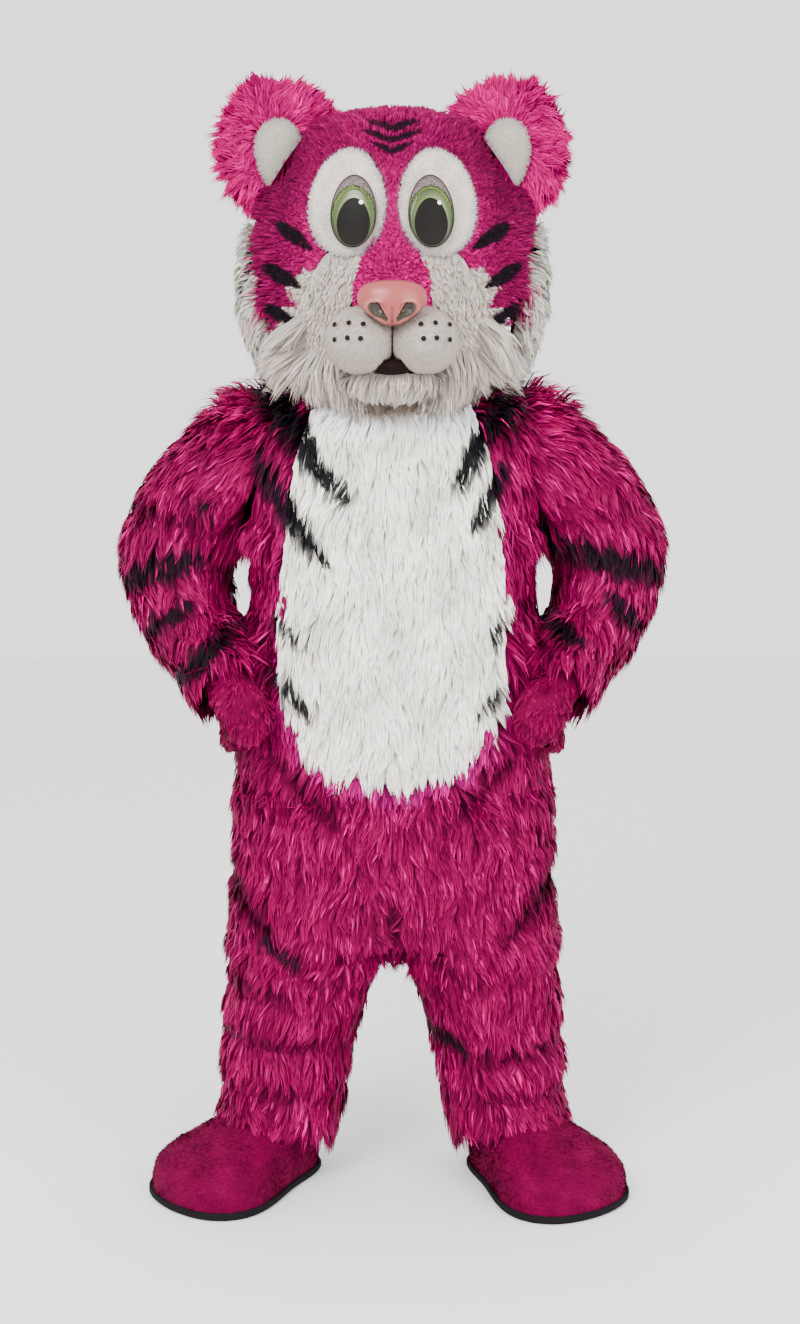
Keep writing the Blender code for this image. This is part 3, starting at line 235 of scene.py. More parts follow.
# White tufts that reach out from the jaw between the cheek's stripes, as corners on the side itself.
CHEEK_TUFTS = [
    ((0.105, 1.570), (0.140, 1.571), (0.172, 1.545), (0.150, 1.512), (0.110, 1.510)),
    ((0.140, 1.514), (0.188, 1.512), (0.186, 1.485), (0.156, 1.450), (0.120, 1.450)),
    ((0.120, 1.456), (0.160, 1.462), (0.260, 1.492), (0.260, 1.360), (0.120, 1.360)),
]

# The whisker dots on each half of the muzzle, by x and height: two even rows.
WHISKERS = [(0.044, 1.480), (0.066, 1.482), (0.088, 1.480), (0.048, 1.458), (0.068, 1.459), (0.088, 1.457)]
WHISKER_DOT = {"radius": 0.0042, "height": 0.0020, "lift": 0.0012}
EYE_SLOTS = {"mesh": "eye_mesh", "iris": "eye_green", "pupil": "eye_black"}
EYE_RIM = {"share": 0.965, "taper": 0.10, "steps": 64, "radius": 0.0011, "lift": 0.0004}
GLINT = {"x": 0.0125, "z": 0.012, "radius": 0.0036, "height": 0.0006, "lift": 0.0006}
NOSTRIL_AT = {"x0": 0.0280, "z0": 1.4995, "x1": 0.0155, "z1": 1.4870, "wide": 0.0125, "wide_end": 0.0055}
NOSTRIL_DEEP = 0.004
NOSE_SLIT = {"low": 1.472, "high": 1.507, "half": 0.0016, "deep": 0.002}
NOSE_NARROW = {"share": 0.45, "low": 1.474, "reach": 0.036}
DISC_SIDES = 14
DISC_ROWS = ((1.0, -0.3), (0.85, 0.5), (0.5, 0.9))
TUBE_SIDES = 6

# The suit's cloths: strands, levels of subdivision, flat size, flat area, and what each hangs from.
PANELS = {
    "suit_belly": {"count": 19000, "levels": 2, "flat": (0.40, 0.70), "area": 0.24, "hangs_on": "suit_front"},
    "suit_front": {"count": 28500, "levels": 2, "flat": (0.36, 1.36), "area": 0.38, "hangs_on": "suit_back"},
    "suit_back": {"count": 16500, "levels": 1, "flat": (0.42, 1.36), "area": 0.45, "hangs_on": "suit_front"},
    "sleeve": {"count": 18000, "levels": 1, "flat": (0.62, 0.50), "area": 0.24, "hangs_on": "suit_front"},
}


def ease(t):
    """Smooth step between 0 and 1, for arrays and numbers."""
    t = np.clip(t, 0.0, 1.0)
    return t * t * (3.0 - 2.0 * t)


def ramp(value, start, width):
    """0 at start and 1 a width further, with a smooth step between. A negative width goes downwards."""
    return ease((value - start) / width)


def unit(v):
    """Rows scaled to length 1."""
    return v / np.maximum(np.linalg.norm(v, axis=-1, keepdims=True), 1e-9)


def heights(points):
    """The points' heights above the floor."""
    return points[:, 2] + HOLD


def mixed(base, other, share):
    """Two colours mixed by an array of shares."""
    share = np.reshape(share, (-1, 1))
    return base * (1 - share) + np.array(other) * share


def plain(colour, points):
    """One colour for every point."""
    return np.tile(np.array(colour), (len(points), 1))


def wobble(points, size, seed):
    """A smooth noise between about -1 and 1, from a few waves in different directions."""
    rng = np.random.default_rng(seed)
    total = np.zeros(len(points))
    for scale in (1.0, 1.7, 2.9):
        for _ in range(4):
            direction = unit(rng.normal(size=3)) * (2 * math.pi * scale / size)
            total += np.sin(points @ direction + rng.uniform(0, 2 * math.pi)) / scale
    return total / 3.4


def arm_line(side):
    """Many points along the arm's middle line, and the way that it runs at each."""
    table = ARM * (side, 1.0, 1.0) - (0.0, 0.0, HOLD)
    at = np.linspace(0, len(ARM) - 1, 60)
    points = np.stack([np.interp(at, range(len(ARM)), table[:, k]) for k in range(3)], axis=1)
    return points, unit(np.gradient(points, axis=0))


def suit_axis(p):
    """The middle of the torso or of a leg, beside a point."""
    share = float(ramp(p.z + HOLD, CROTCH_TOP, -LEG_BLEND))
    return Vector((math.copysign(LEG_MIDDLE, p.x) * share, 0.0, min(p.z, SHOULDER - HOLD)))


def arm_axis(p):
    """The nearest point of the arm's middle line."""
    points, _ = arm_line(math.copysign(1.0, p.x))
    return Vector(points[np.argmin(np.linalg.norm(points - np.array(p), axis=1))])


def head_axis(_):
    """The middle of the head."""
    return Vector((0.0, 0.0, HEAD_MIDDLE - HOLD))


def centre_axis(node, back=0.0):
    """The middle of a node's own bounds, or a place behind it."""
    points, _ = coordinates(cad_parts[node].data)
    middle = Vector((points.min(axis=0) + points.max(axis=0)) / 2) + Vector((0.0, back, 0.0))
    return lambda p: middle


def foot_axis(p):
    """The middle line of the foot beside a point, low over the sole."""
    label = "left" if p.x > 0 else "right"
    turn, side = math.radians(FOOT_TURN[label]), SIDES[label]
    start = Vector((ANKLE["x"] * side, ANKLE["y"]))
    way = Vector((math.sin(turn) * side, -math.cos(turn)))
    spot = start + way * min(FOOT_REACH, max(0.0, (p.xy - start).dot(way)))
    return Vector((spot.x, spot.y, min(p.z, FOOT_MIDDLE - HOLD)))


def tree_of(meshes):
    """One search tree over the faces of several meshes."""
    points, faces = [], []
    for mesh in meshes:
        start = len(points)
        points += [v.co.copy() for v in mesh.vertices]
        faces += [[start + i for i in p.vertices] for p in mesh.polygons]
    return BVHTree.FromPolygons(points, faces)


def hides_others(name):
    """Whether a node hides what it lies on: all do but the nose and the eyes."""
    return name != "nose" and (not name.startswith("eye_") or "patch" in name)


CAD_TREE = tree_of([node.data for name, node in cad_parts.items() if hides_others(name)])


def beyond_rim(bm, point, way):
    """The faces outside a mitt's open end, found by spreading from its far end."""
    point, way = Vector(point), Vector(way)

    def is_rim(face):
        return face.normal.dot(way) < -0.8 and (face.calc_center_median() - point).dot(way) < 0.006

    start = max(bm.faces, key=lambda face: face.calc_center_median().dot(way))
    found, waiting = {start}, [start]
    while waiting:
        for edge in waiting.pop().edges:
            for face in edge.link_faces:
                if face not in found and not is_rim(face):
                    found.add(face)
                    waiting.append(face)
    return found


def new_object(name, data):
    """An object in the scene that holds a mesh, a camera or a light."""
    piece = bpy.data.objects.new(name, data)
    bpy.context.scene.collection.objects.link(piece)
    return piece


def from_bmesh(name, bm, levels=0):
    """A smooth object from a bmesh, subdivided."""
    for face in bm.faces:
        face.smooth = True
    mesh = bpy.data.meshes.new(name)
    bm.to_mesh(mesh)
    bm.free()
    piece = new_object(name, mesh)
    if levels:
        smooth = piece.modifiers.new("smooth", "SUBSURF")
        smooth.levels = smooth.render_levels = levels
        settle(piece)
    return piece


def node_bmesh(node):
    """A CAD node's form with its doubled points joined."""
    bm = bmesh.new()
    bm.from_mesh(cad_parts[node].data)
    bmesh.ops.remove_doubles(bm, verts=bm.verts, dist=2e-5)
    return bm


def outer_skin(name, node, axis, wall=None, levels=2, rim=None):
    """The face of a CAD node that shows, as a smooth mesh of its own.

    With a rim, it is all outside a mitt's open end. Otherwise it is what looks away from the axis and has no
    other part close over it. With a wall, the node's own inner face also has to lie within it underneath.
    """
    near, step = 0.003, 1e-4
    bm = node_bmesh(node)
    bm.normal_update()
    own = BVHTree.FromBMesh(bm)
    outside = beyond_rim(bm, *rim) if rim else None
    hidden = []
    for face in bm.faces:
        if rim:
            if face not in outside:
                hidden.append(face)
            continue
        centre, normal = face.calc_center_median(), face.normal
        shows = normal.dot(centre - axis(centre)) > 0
        if shows and CAD_TREE.ray_cast(centre + normal * step, normal, near)[0] is not None:
            shows = False
        if shows and wall:
            shows = own.ray_cast(centre - normal * step, -normal, wall)[0] is not None
        if not shows:
            hidden.append(face)
    bmesh.ops.delete(bm, geom=hidden, context="FACES")
    bmesh.ops.join_triangles(bm, faces=bm.faces, angle_face_threshold=0.7, angle_shape_threshold=0.9)
    return from_bmesh(name, bm, levels)


def settle(piece):
    """Applies a piece's modifiers to its mesh."""
    bpy.context.view_layer.update()
    mesh = bpy.data.meshes.new_from_object(piece.evaluated_get(bpy.context.evaluated_depsgraph_get()))
    mesh.name = piece.name
    piece.modifiers.clear()
    piece.data = mesh
    for face in mesh.polygons:
        face.use_smooth = True


def coordinates(mesh):
    """A mesh's points and its vertex normals as arrays."""
    points = np.empty(len(mesh.vertices) * 3)
    mesh.vertices.foreach_get("co", points)
    normals = np.empty(len(mesh.vertices) * 3, dtype=np.float32)
    mesh.vertex_normals.foreach_get("vector", normals)
    return points.reshape(-1, 3), normals.reshape(-1, 3).astype(float)


def move_points(piece, offset):
    """Moves a mesh's points by an array."""
    points, _ = coordinates(piece.data)
    piece.data.vertices.foreach_set("co", (points + offset).ravel())
    piece.data.update()


def sink(piece, depth):
    """Moves a skin in along its normals. depth is a number or an array."""
    _, normals = coordinates(piece.data)
    move_points(piece, -normals * np.reshape(depth, (-1, 1)))


def soften_points(piece, times):
    """Evens out a skin's points, and so rounds off its corners."""
    bm = bmesh.new()
    bm.from_mesh(piece.data)
    inner = [v for v in bm.verts if not v.is_boundary]
    for _ in range(times):
        bmesh.ops.smooth_vert(bm, verts=inner, factor=0.5, use_axis_x=True, use_axis_y=True, use_axis_z=True)
    bm.to_mesh(piece.data)
    bm.free()
    piece.data.update()


def thicken(cloth):
    """Gives a cloth its thickness, on the side away from the fur."""
    solid = cloth.modifiers.new("thick", "SOLIDIFY")
    solid.thickness = BACKING_THICK
    solid.offset = -1.0
    settle(cloth)


def paint(piece, colours):
    """Gives a piece a colour for each point."""
    layer = piece.data.color_attributes.new("tint", "FLOAT_COLOR", "POINT")
    rgba = np.concatenate([colours, np.ones((len(colours), 1))], axis=1)
    layer.data.foreach_set("color", rgba.ravel())


def edge_tree(piece):
    """A search tree over the points on a skin's open edge."""
    bm = bmesh.new()
    bm.from_mesh(piece.data)
    places = [v.co.copy() for v in bm.verts if v.is_boundary]
    bm.free()
    return point_tree(places)


def point_tree(places):
    """A search tree over points."""
    tree = kdtree.KDTree(len(places))
    for i, place in enumerate(places):
        tree.insert(place, i)
    tree.balance()
    return tree


def node_edge(node, axis):
    """A search tree over the edge of the face of a CAD node that shows."""
    skin = outer_skin("edge", node, axis, levels=1)
    tree = edge_tree(skin)
    bpy.data.objects.remove(skin)
    return tree


def edge_gap(tree, points):
    """How far each place is from an open edge."""
    return np.array([tree.find(p)[2] for p in points])


def sample(piece, count, rng, keep):
    """Random places on a skin that keep allows, with their smooth normals."""
    mesh = piece.data
    mesh.calc_loop_triangles()
    corners = np.empty(len(mesh.loop_triangles) * 3, dtype=np.int32)
    mesh.loop_triangles.foreach_get("vertices", corners)
    corners = corners.reshape(-1, 3)
    points, normals = coordinates(mesh)
    a, b, c = (points[corners[:, k]] for k in range(3))
    area = np.linalg.norm(np.cross(b - a, c - a), axis=1) / 2
    pick = rng.choice(len(area), size=count, p=area / area.sum())
    u, v = rng.random(count), rng.random(count)
    flip = u + v > 1
    u[flip], v[flip] = 1 - u[flip], 1 - v[flip]
    shares = np.stack([1 - u - v, u, v], axis=1)[:, :, None]
    places = (points[corners[pick]] * shares).sum(axis=1)
    ways_out = unit((normals[corners[pick]] * shares).sum(axis=1))
    if keep is None:
        return places, ways_out
    chosen = keep(places)
    return places[chosen], ways_out[chosen]


def gap_to_line(points, row):
    """How far along a line each place lies, from 0 to 1, and its gap to the line, as seen from the front."""
    start = np.array([row["x0"], row["z0"] - HOLD])
    along = np.array([row["x1"], row["z1"] - HOLD]) - start
    flat = points[:, [0, 2]] - start
    t = np.clip(flat @ along / (along @ along), 0.0, 1.0)
    return t, np.linalg.norm(flat - t[:, None] * along, axis=1)


def stripe_share(points, normals, seed, table=STRIPES, edge=0.006):
    """How far a place lies in a table's stripes, from 0 to 1, with ragged edges."""
    share = np.zeros(len(points))
    jag = 0.5 * wobble(points, 0.035, seed) + 0.5 * wobble(points, 0.013, seed + 1)
    for row in table:
        t, gap = gap_to_line(points, row)
        half = row["wide"] * (0.45 + 0.80 * np.sin(math.pi * np.clip(0.12 + 0.80 * t, 0, 1)) ** 0.7)
        here = ease((half * (1.15 + 0.30 * jag) - gap) / edge)
        share = np.maximum(share, here * ramp(normals[:, 1] * row["face"], -0.15, 0.2))
    return share


def face_stripe_share(points):
    """How far a place on the front of the head lies in a stripe, from 0 to 1."""
    share = np.zeros(len(points))
    jag = 0.30 * wobble(points, 0.030, 61) + 0.10 * wobble(points, 0.009, 62)
    for row in FACE_STRIPES:
        t, gap = gap_to_line(points, row)
        half = row["wide"] * (0.25 + 0.75 * np.sin(math.pi * (0.20 + 0.78 * t)) ** 0.8)
        share = np.maximum(share, ease((half * (1.15 + 0.5 * jag) - gap) / 0.0025))
    return share * ease(-points[:, 1] / 0.03)


def in_tufts(points, seed):
    """Whether each place on the head lies in one of the white cheek tufts."""
    shake = np.stack([wobble(points, 0.018, seed), wobble(points, 0.015, seed + 1)], axis=1)
    shaken = points[:, [0, 2]] + 0.004 * shake
    x, z = np.abs(shaken[:, 0]), shaken[:, 1] + HOLD
    found = np.zeros(len(points), dtype=bool)
    for corners in CHEEK_TUFTS:
        inside = np.zeros(len(points), dtype=bool)
        for (x0, z0), (x1, z1) in zip(corners, corners[1:] + corners[:1]):
            crosses = (z0 > z) != (z1 > z)
            inside ^= crosses & (x < (x1 - x0) * (z - z0) / (z1 - z0 + 1e-12) + x0)
        found |= inside
    return found & (points[:, 1] < 0)


# How a strand is made: the stations along it, its width at the lower ones, its droop, its pull towards the
# middle of its lock, where along it the stripes are looked up, and how much of its shading is the skin's.
STATIONS = np.array([0.0, 0.50, 1.0])
STATION_WIDTHS = (1.0, 0.90)
DROOP = 0.15
PULL = 0.72
LOOK_UP = 0.62
SKIN_SHADING = 0.5

# How far locks and strands differ from each other, as shares of their size, or as an angle or a length.
LOCK_REACH = (0.82, 1.18)
LOCK_LIFT = (0.60, 1.40)
STRAND_REACH = (0.78, 1.10)
STRAND_LIFT = (0.6, 1.25)
STRAND_WIDTH = (0.7, 1.3)
STRAND_ROLL = (-0.75, 0.75)
STREAK_SHIFT = (0.0, 400.0)
BRIGHT_LIMITS = (0.4, 1.7)
BLADE_REACH = (0.6, 1.2)
BLADE_LIFT = (0.5, 1.3)
# In BLADE, low darkens a blade's root as painted shade and tip lightens its tip as painted light.
BLADE = {"swirl": 0.5, "stray": 0.25, "shade": 0.10, "root": 0.0006, "low": 0.80, "tip": 1.12}


def at_place(value, roots, normals):
    """A size that is one number or that follows the place."""
    return value(roots, normals) if callable(value) else value


def laid(comb, roots, normals, swirl):
    """The ways that a comb lays fur along the skin, each turned by an angle."""
    ahead = comb(roots)
    ahead = unit(ahead - normals * (ahead * normals).sum(axis=1, keepdims=True))
    return ahead * np.cos(swirl)[:, None] + np.cross(normals, ahead) * np.sin(swirl)[:, None]


def grow(name, piece, spec, comb, tint, seed, keep=None):
    """A coat of tapered fur strands on a skin, drawn together into locks, as one mesh."""
    rng = np.random.default_rng(seed)
    roots, normals = sample(piece, spec["count"], rng, keep)
    count = len(roots)
    swirl = spec["swirl"] * wobble(roots, 0.09, seed + 2) + rng.normal(0, spec["stray"], count)
    ahead = laid(comb, roots, normals, swirl)

    locks = max(1, count // spec["per_lock"])
    tree = point_tree(roots[:locks])
    lock = np.array([tree.find(p)[1] for p in roots])
    lock_reach = rng.uniform(*LOCK_REACH, locks)[lock]
    lock_lift = rng.uniform(*LOCK_LIFT, locks)[lock]
    lock_shade = rng.normal(1.0, spec["lock_shade"], locks)[lock]
    length = at_place(spec["length"], roots, normals) * lock_reach * rng.uniform(*STRAND_REACH, count)
    lift = at_place(spec["lift"], roots, normals) * lock_lift * rng.uniform(*STRAND_LIFT, count)

    def strand(mine, t):
        """Where strands that start at the chosen roots lie at a share t of their length."""
        rise = (lift * (1.0 - (1.0 - t) ** 2.0))[:, None]
        droop = np.array([0.0, 0.0, -1.0]) * (DROOP * t * t * length)[:, None]
        return roots[mine] + normals[mine] * rise + ahead[mine] * (length * t)[:, None] + droop

    path = []
    for t in STATIONS:
        own, shared = strand(slice(None), t), strand(lock, t)
        path.append(own + (shared - own) * (PULL * t ** 1.2))

    roll = rng.uniform(*STRAND_ROLL, count)[:, None]
    half = spec["width"] / 2 * rng.uniform(*STRAND_WIDTH, count)[:, None]
    forward = unit(path[-2] - path[0])
    sideways = unit(np.cross(forward, normals))
    sideways = sideways * np.cos(roll) + np.cross(sideways, forward) * np.sin(roll)
    blade = np.cross(sideways, forward)
    rows = []
    for p, wide in zip(path[:-1], STATION_WIDTHS):
        rows += [p - sideways * half * wide, p + sideways * half * wide]
    points = np.stack(rows + [path[-1]], axis=1)
    corners = points.shape[1]
    shading = unit(normals * SKIN_SHADING + blade * (1 - SKIN_SHADING))
    shading = np.repeat(shading[:, None], corners, axis=1)

    whole = spec["whole"]
    outer = roots + ahead * (length * LOOK_UP)[:, None]
    base = np.stack([tint(p, normals, np.random.default_rng(seed + 9)) for p in path], axis=1) * (1 - whole)
    base += tint(outer, normals, np.random.default_rng(seed + 9))[:, None] * whole
    base = np.concatenate([np.repeat(base[:, :-1], 2, axis=1), base[:, -1:]], axis=1)
    bright = np.clip(lock_shade * rng.normal(1.0, spec["shade"], count), *BRIGHT_LIMITS)
    # Painted shade at the strand's root and painted light at its tip.
    along = np.array([spec["low"], spec["low"], 1.0, 1.0, spec["tip"]])
    colour = base * bright[:, None, None] * along[None, :, None]
    # strip runs across a strand in x, and along it in y.
    strip = np.zeros((count, corners, 3))
    strip[:, :-1:2, 0], strip[:, 1:-1:2, 0] = -1.0, 1.0
    strip[:, :, 0] += rng.uniform(*STREAK_SHIFT, count)[:, None]
    strip[:, :, 1] = np.append(np.repeat(STATIONS[:-1], 2), 1.0)
    first = np.arange(count)[:, None] * corners
    quads, tips = first + np.array([0, 1, 3, 2]), first + np.array([2, 3, 4])
    coat = mesh_piece(name, points, quads, tips, shading, colour)
    coat.data.attributes.new("strip", "FLOAT_VECTOR", "POINT").data.foreach_set("vector", strip.ravel())
    return coat


def short_pile(name, piece, spec, comb, tint, seed, keep=None):
    """A nap of single blades on a skin, as one mesh."""
    rng = np.random.default_rng(seed)
    roots, normals = sample(piece, spec["count"], rng, keep)
    count = len(roots)
    swirl = BLADE["swirl"] * wobble(roots, 0.05, seed + 2) + rng.normal(0, BLADE["stray"], count)
    ahead = laid(comb, roots, normals, swirl)
    across = np.cross(normals, ahead)
    length = (spec["length"] * rng.uniform(*BLADE_REACH, count))[:, None]
    lift = (spec["lift"] * rng.uniform(*BLADE_LIFT, count))[:, None]
    half = (spec["width"] / 2 * rng.uniform(*STRAND_WIDTH, count))[:, None]
    low = roots - normals * BLADE["root"]
    end = roots + ahead * length + normals * lift
    points = np.stack([low + across * half, low - across * half, end], axis=1)
    base = tint(roots + ahead * length * 0.5, normals, rng) * rng.normal(1.0, BLADE["shade"], count)[:, None]
    # Painted shade at the blade's root and painted light at its tip.
    colour = base[:, None, :] * np.array([BLADE["low"], BLADE["low"], BLADE["tip"]])[None, :, None]
    tips = np.arange(count)[:, None] * 3 + np.array([0, 1, 2])
    shading = np.repeat(normals[:, None], 3, axis=1)
    return mesh_piece(name, points, np.empty((0, 4), int), tips, shading, colour)


def mesh_piece(name, points, quads, tips, shading, colour):
    """A mesh from arrays of points, faces, point normals and point colours."""
    mesh = bpy.data.meshes.new(name)
    mesh.vertices.add(points.size // 3)
    mesh.vertices.foreach_set("co", points.astype(np.float32).ravel())
    corners = np.concatenate([quads.ravel(), tips.ravel()]).astype(np.int32)
    mesh.loops.add(len(corners))
    mesh.loops.foreach_set("vertex_index", corners)
    starts = np.concatenate([np.arange(len(quads)) * 4, len(quads) * 4 + np.arange(len(tips)) * 3])
    mesh.polygons.add(len(starts))
    mesh.polygons.foreach_set("loop_start", starts.astype(np.int32))
    mesh.polygons.foreach_set("use_smooth", np.ones(len(starts), dtype=bool))
    mesh.update(calc_edges=True)
    mesh.normals_split_custom_set_from_vertices(shading.reshape(-1, 3).astype(np.float32))
    piece = new_object(name, mesh)
    paint(piece, np.clip(colour.reshape(-1, 3), 0.0, 1.0))
    return piece


def material(name, roughness, specular=0.5, gleam=PLAIN_GLEAM):
    """A new node material and its shader."""
    made = bpy.data.materials.new(name)
    made.use_nodes = True
    shader = made.node_tree.nodes["Principled BSDF"]
    shader.inputs["Roughness"].default_value = roughness
    shader.inputs["Specular IOR Level"].default_value = specular
    shader.inputs["Specular Tint"].default_value = gleam
    return made, shader


def plain_paint(name, colour, roughness, specular=0.5):
    """A material of one colour."""
    made, shader = material(name, roughness, specular)
    shader.inputs["Base Color"].default_value = colour
    return made


def add(made, kind, inputs=None):
    """A new node in a material, with values for some of its inputs."""
    node = made.node_tree.nodes.new("ShaderNode" + kind)
    for label, value in (inputs or {}).items():
        node.inputs[label].default_value = value
    return node


def texture(made, kind, inputs):
    """A texture that follows a piece's own coordinates."""
    node = add(made, kind, inputs)
    made.node_tree.links.new(add(made, "TexCoord").outputs["Object"], node.inputs["Vector"])
    return node


def ranged(made, value, span):
    """A value mapped from one range to another: span gives both ends of the first and then of the second."""
    node = add(made, "MapRange", dict(zip(("From Min", "From Max", "To Min", "To Max"), span)))
    made.node_tree.links.new(value, node.inputs["Value"])
    return node.outputs["Result"]


def painted_colour(made):
    """The colour painted on a piece's points."""
    tint = add(made, "VertexColor")
    tint.layer_name = "tint"
    return tint.outputs["Color"]


def scale_colour(made, shader, value, span):
    """Gives the shader the painted colour times a value, mapped to a range."""
    shade = add(made, "VectorMath")
    shade.operation = "SCALE"
    made.node_tree.links.new(painted_colour(made), shade.inputs[0])
    made.node_tree.links.new(ranged(made, value, span), shade.inputs["Scale"])
    made.node_tree.links.new(shade.outputs["Vector"], shader.inputs["Base Color"])


def roughen(made, shader, noise, strength, distance):
    """Gives the shader a relief from a noise."""
    relief = add(made, "Bump", {"Strength": strength, "Distance": distance})
    made.node_tree.links.new(noise.outputs["Fac"], relief.inputs["Height"])
    made.node_tree.links.new(relief.outputs["Normal"], shader.inputs["Normal"])


def fur_material(name, roughness, specular, gleam, deep, high):
    """Fur takes the colour painted on each strand, streaked into hairs that part towards its tip."""
    made, shader = material(name, roughness, specular, gleam)
    link = made.node_tree.links.new
    strip = add(made, "Attribute")
    strip.attribute_name = "strip"
    hairs = add(made, "TexNoise", {"Scale": 2.2, "Detail": 1.0})
    hairs.noise_dimensions = "2D"
    link(strip.outputs["Vector"], hairs.inputs["Vector"])
    scale_colour(made, shader, hairs.outputs["Fac"], (0.34, 0.66, deep, high))
    apart = add(made, "SeparateXYZ")
    link(strip.outputs["Vector"], apart.inputs["Vector"])
    keep = add(made, "Math")
    keep.operation = "GREATER_THAN"
    link(hairs.outputs["Fac"], keep.inputs[0])
    link(ranged(made, apart.outputs["Y"], (0.40, 1.0, 0.25, 0.62)), keep.inputs[1])
    link(keep.outputs["Value"], shader.inputs["Alpha"])
    return made


def pile_material(name, roughness, specular, gleam=PLAIN_GLEAM):
    """Short pile takes the colour painted on each blade, a little uneven."""
    made, shader = material(name, roughness, specular, gleam)
    fine = texture(made, "TexNoise", {"Scale": 700.0})
    scale_colour(made, shader, fine.outputs["Fac"], (0.3, 0.7, 0.80, 1.2))
    return made


def cloth_material(name):
    """Backing cloth: painted colour, broken up by a fine nap."""
    made, shader = material(name, 0.9, 0.05)
    wide = texture(made, "TexNoise", {"Scale": 40.0})
    scale_colour(made, shader, wide.outputs["Fac"], (0.0, 1.0, 0.75, 1.25))
    roughen(made, shader, texture(made, "TexNoise", {"Scale": 900.0, "Detail": 3.0}), 0.25, 0.001)
    return made


def painted_material(name, roughness, grain, bump, specular=0.5):
    """Rubber or plastic in its painted colours, with a fine surface."""
    made, shader = material(name, roughness, specular)
    made.node_tree.links.new(painted_colour(made), shader.inputs["Base Color"])
    roughen(made, shader, texture(made, "TexNoise", {"Scale": grain}), bump, 0.0006)
    return made


def perforated_material():
    """The eye's see-through plate: painted, with rows of small holes."""
    made, shader = material("eye_mesh", 0.6, 0.15)
    holes = texture(made, "TexVoronoi", {"Scale": 230.0, "Randomness": 0.15})
    scale_colour(made, shader, holes.outputs["Distance"], (0.22, 0.38, 0.12, 1.15))
    return made


def wear(piece, made, slot, *nodes):
    """Gives a piece a material and the root body, and hides the CAD nodes that it stands for. slot is not
    used.
    """
    piece.data.materials.clear()
    piece.data.materials.append(made)
    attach(piece, "root")
    if nodes:
        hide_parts(*nodes)


def flecks(points, rng, share, low, high):
    """A random strength for some of the points, and none for the rest."""
    return (rng.random(len(points)) < share) * rng.uniform(low, high, len(points))


def striped(colour, light, seed, share=0.13):
    """Long fur's tint: a base, painted highlight strands, painted light by the neck, painted shade under the
    folds, and black stripes.
    """
    def tint(points, normals, rng):
        # Some strands are mixed towards the light colour as painted highlights.
        base = mixed(np.array(colour), light, flecks(points, rng, share, 0.3, 1.0))
        base *= 1.0 + 0.16 * wobble(points, 0.11, seed + 5)[:, None]
        x, height = np.abs(points[:, 0]), heights(points)
        # Painted light on the shoulders beside the neck, where the head's shadow falls.
        shoulder_light = ramp(height, 1.290, 0.04) * ramp(height, 1.46, -0.04) * ramp(x, 0.32, -0.05)
        base *= 1.0 + 0.8 * shoulder_light[:, None]
        # Painted shade: the fur darkened under the folds.
        fold_shade = stripe_share(points, normals, seed + 7, FOLDS, 0.020)
        base = mixed(base, np.array(colour) * 0.13, fold_shade * 0.88)
        return mixed(base, STRIPE, stripe_share(points, normals, seed) * (rng.random(len(points)) < 0.96))
    return tint


def ways(points, x, y, z):
    """One way for each point. x, y and z are numbers or arrays."""
    return np.stack([np.broadcast_to(part, len(points)) for part in (x, y, z)], axis=1)


def comb_suit(points):
    """Down the body and legs, a little outwards, and across the gap at the crotch."""
    x, height = points[:, 0], heights(points)
    sideways = np.sign(x) * 0.22 * ease(np.abs(x) / 0.10)
    crotch = ramp(np.abs(x), 0.050, -0.03) * ramp(height, 0.58, -0.05) * ramp(height, 0.40, 0.04)
    return ways(points, sideways - np.sign(x) * crotch * 0.8, 0.0, -1.0)


def comb_belly(points):
    """Down the belly."""
    return ways(points, points[:, 0] * 0.5, 0.0, -1.0)


def comb_arm(points):
    """Along the arm towards the cuff, and down."""
    way = np.empty_like(points)
    for side in SIDES.values():
        line, run = arm_line(side)
        mine = points[:, 0] * side > 0
        gaps = np.linalg.norm(points[mine][:, None] - line[None], axis=2)
        way[mine] = run[np.argmin(gaps, axis=1)]
    return way + np.array([0.0, 0.0, -0.45])


def comb_head(points):
    """Out from the face and down the back of the head."""
    return ways(points, points[:, 0] * 1.5, 0.35, -0.8)


def comb_face(points):
    """Away from the nose over the bridge, cheeks and jaw."""
    return ways(points, points[:, 0] * 1.6, 0.05, heights(points) - 1.550)


def comb_jaw(points):
    """Out over the jaws and down under the chin."""
    return ways(points, points[:, 0] * (3.0 - 1.8 * ramp(heights(points), 1.46, -0.04)), 0.0, -1.0)


def comb_hem(points):
    """Down under the chin, and outwards at the sides of the jaw."""
    return ways(points, points[:, 0] * (1.0 + 7.0 * ramp(np.abs(points[:, 0]), 0.115, 0.03)), -0.05, -1.0)


def comb_ruff(points):
    """Outwards, and down towards the jaw."""
    return ways(points, np.sign(points[:, 0]), 0.2, (heights(points) - 1.600) * 6.0 - 0.25)


def comb_from(x, z):
    """Away from a place on the face, on both sides."""
    def comb(points):
        return ways(points, points[:, 0] - np.sign(points[:, 0]) * x, 0.01, heights(points) - z)
    return comb


def comb_glove(points):
    """Towards the finger ends."""
    return ways(points, -0.2, 0.2, -1.0)


def comb_foot(points):
    """From the ankle towards the toes."""
    turn = math.radians(40.0)
    return ways(points, np.sign(points[:, 0]) * math.sin(turn), -math.cos(turn), -0.4)


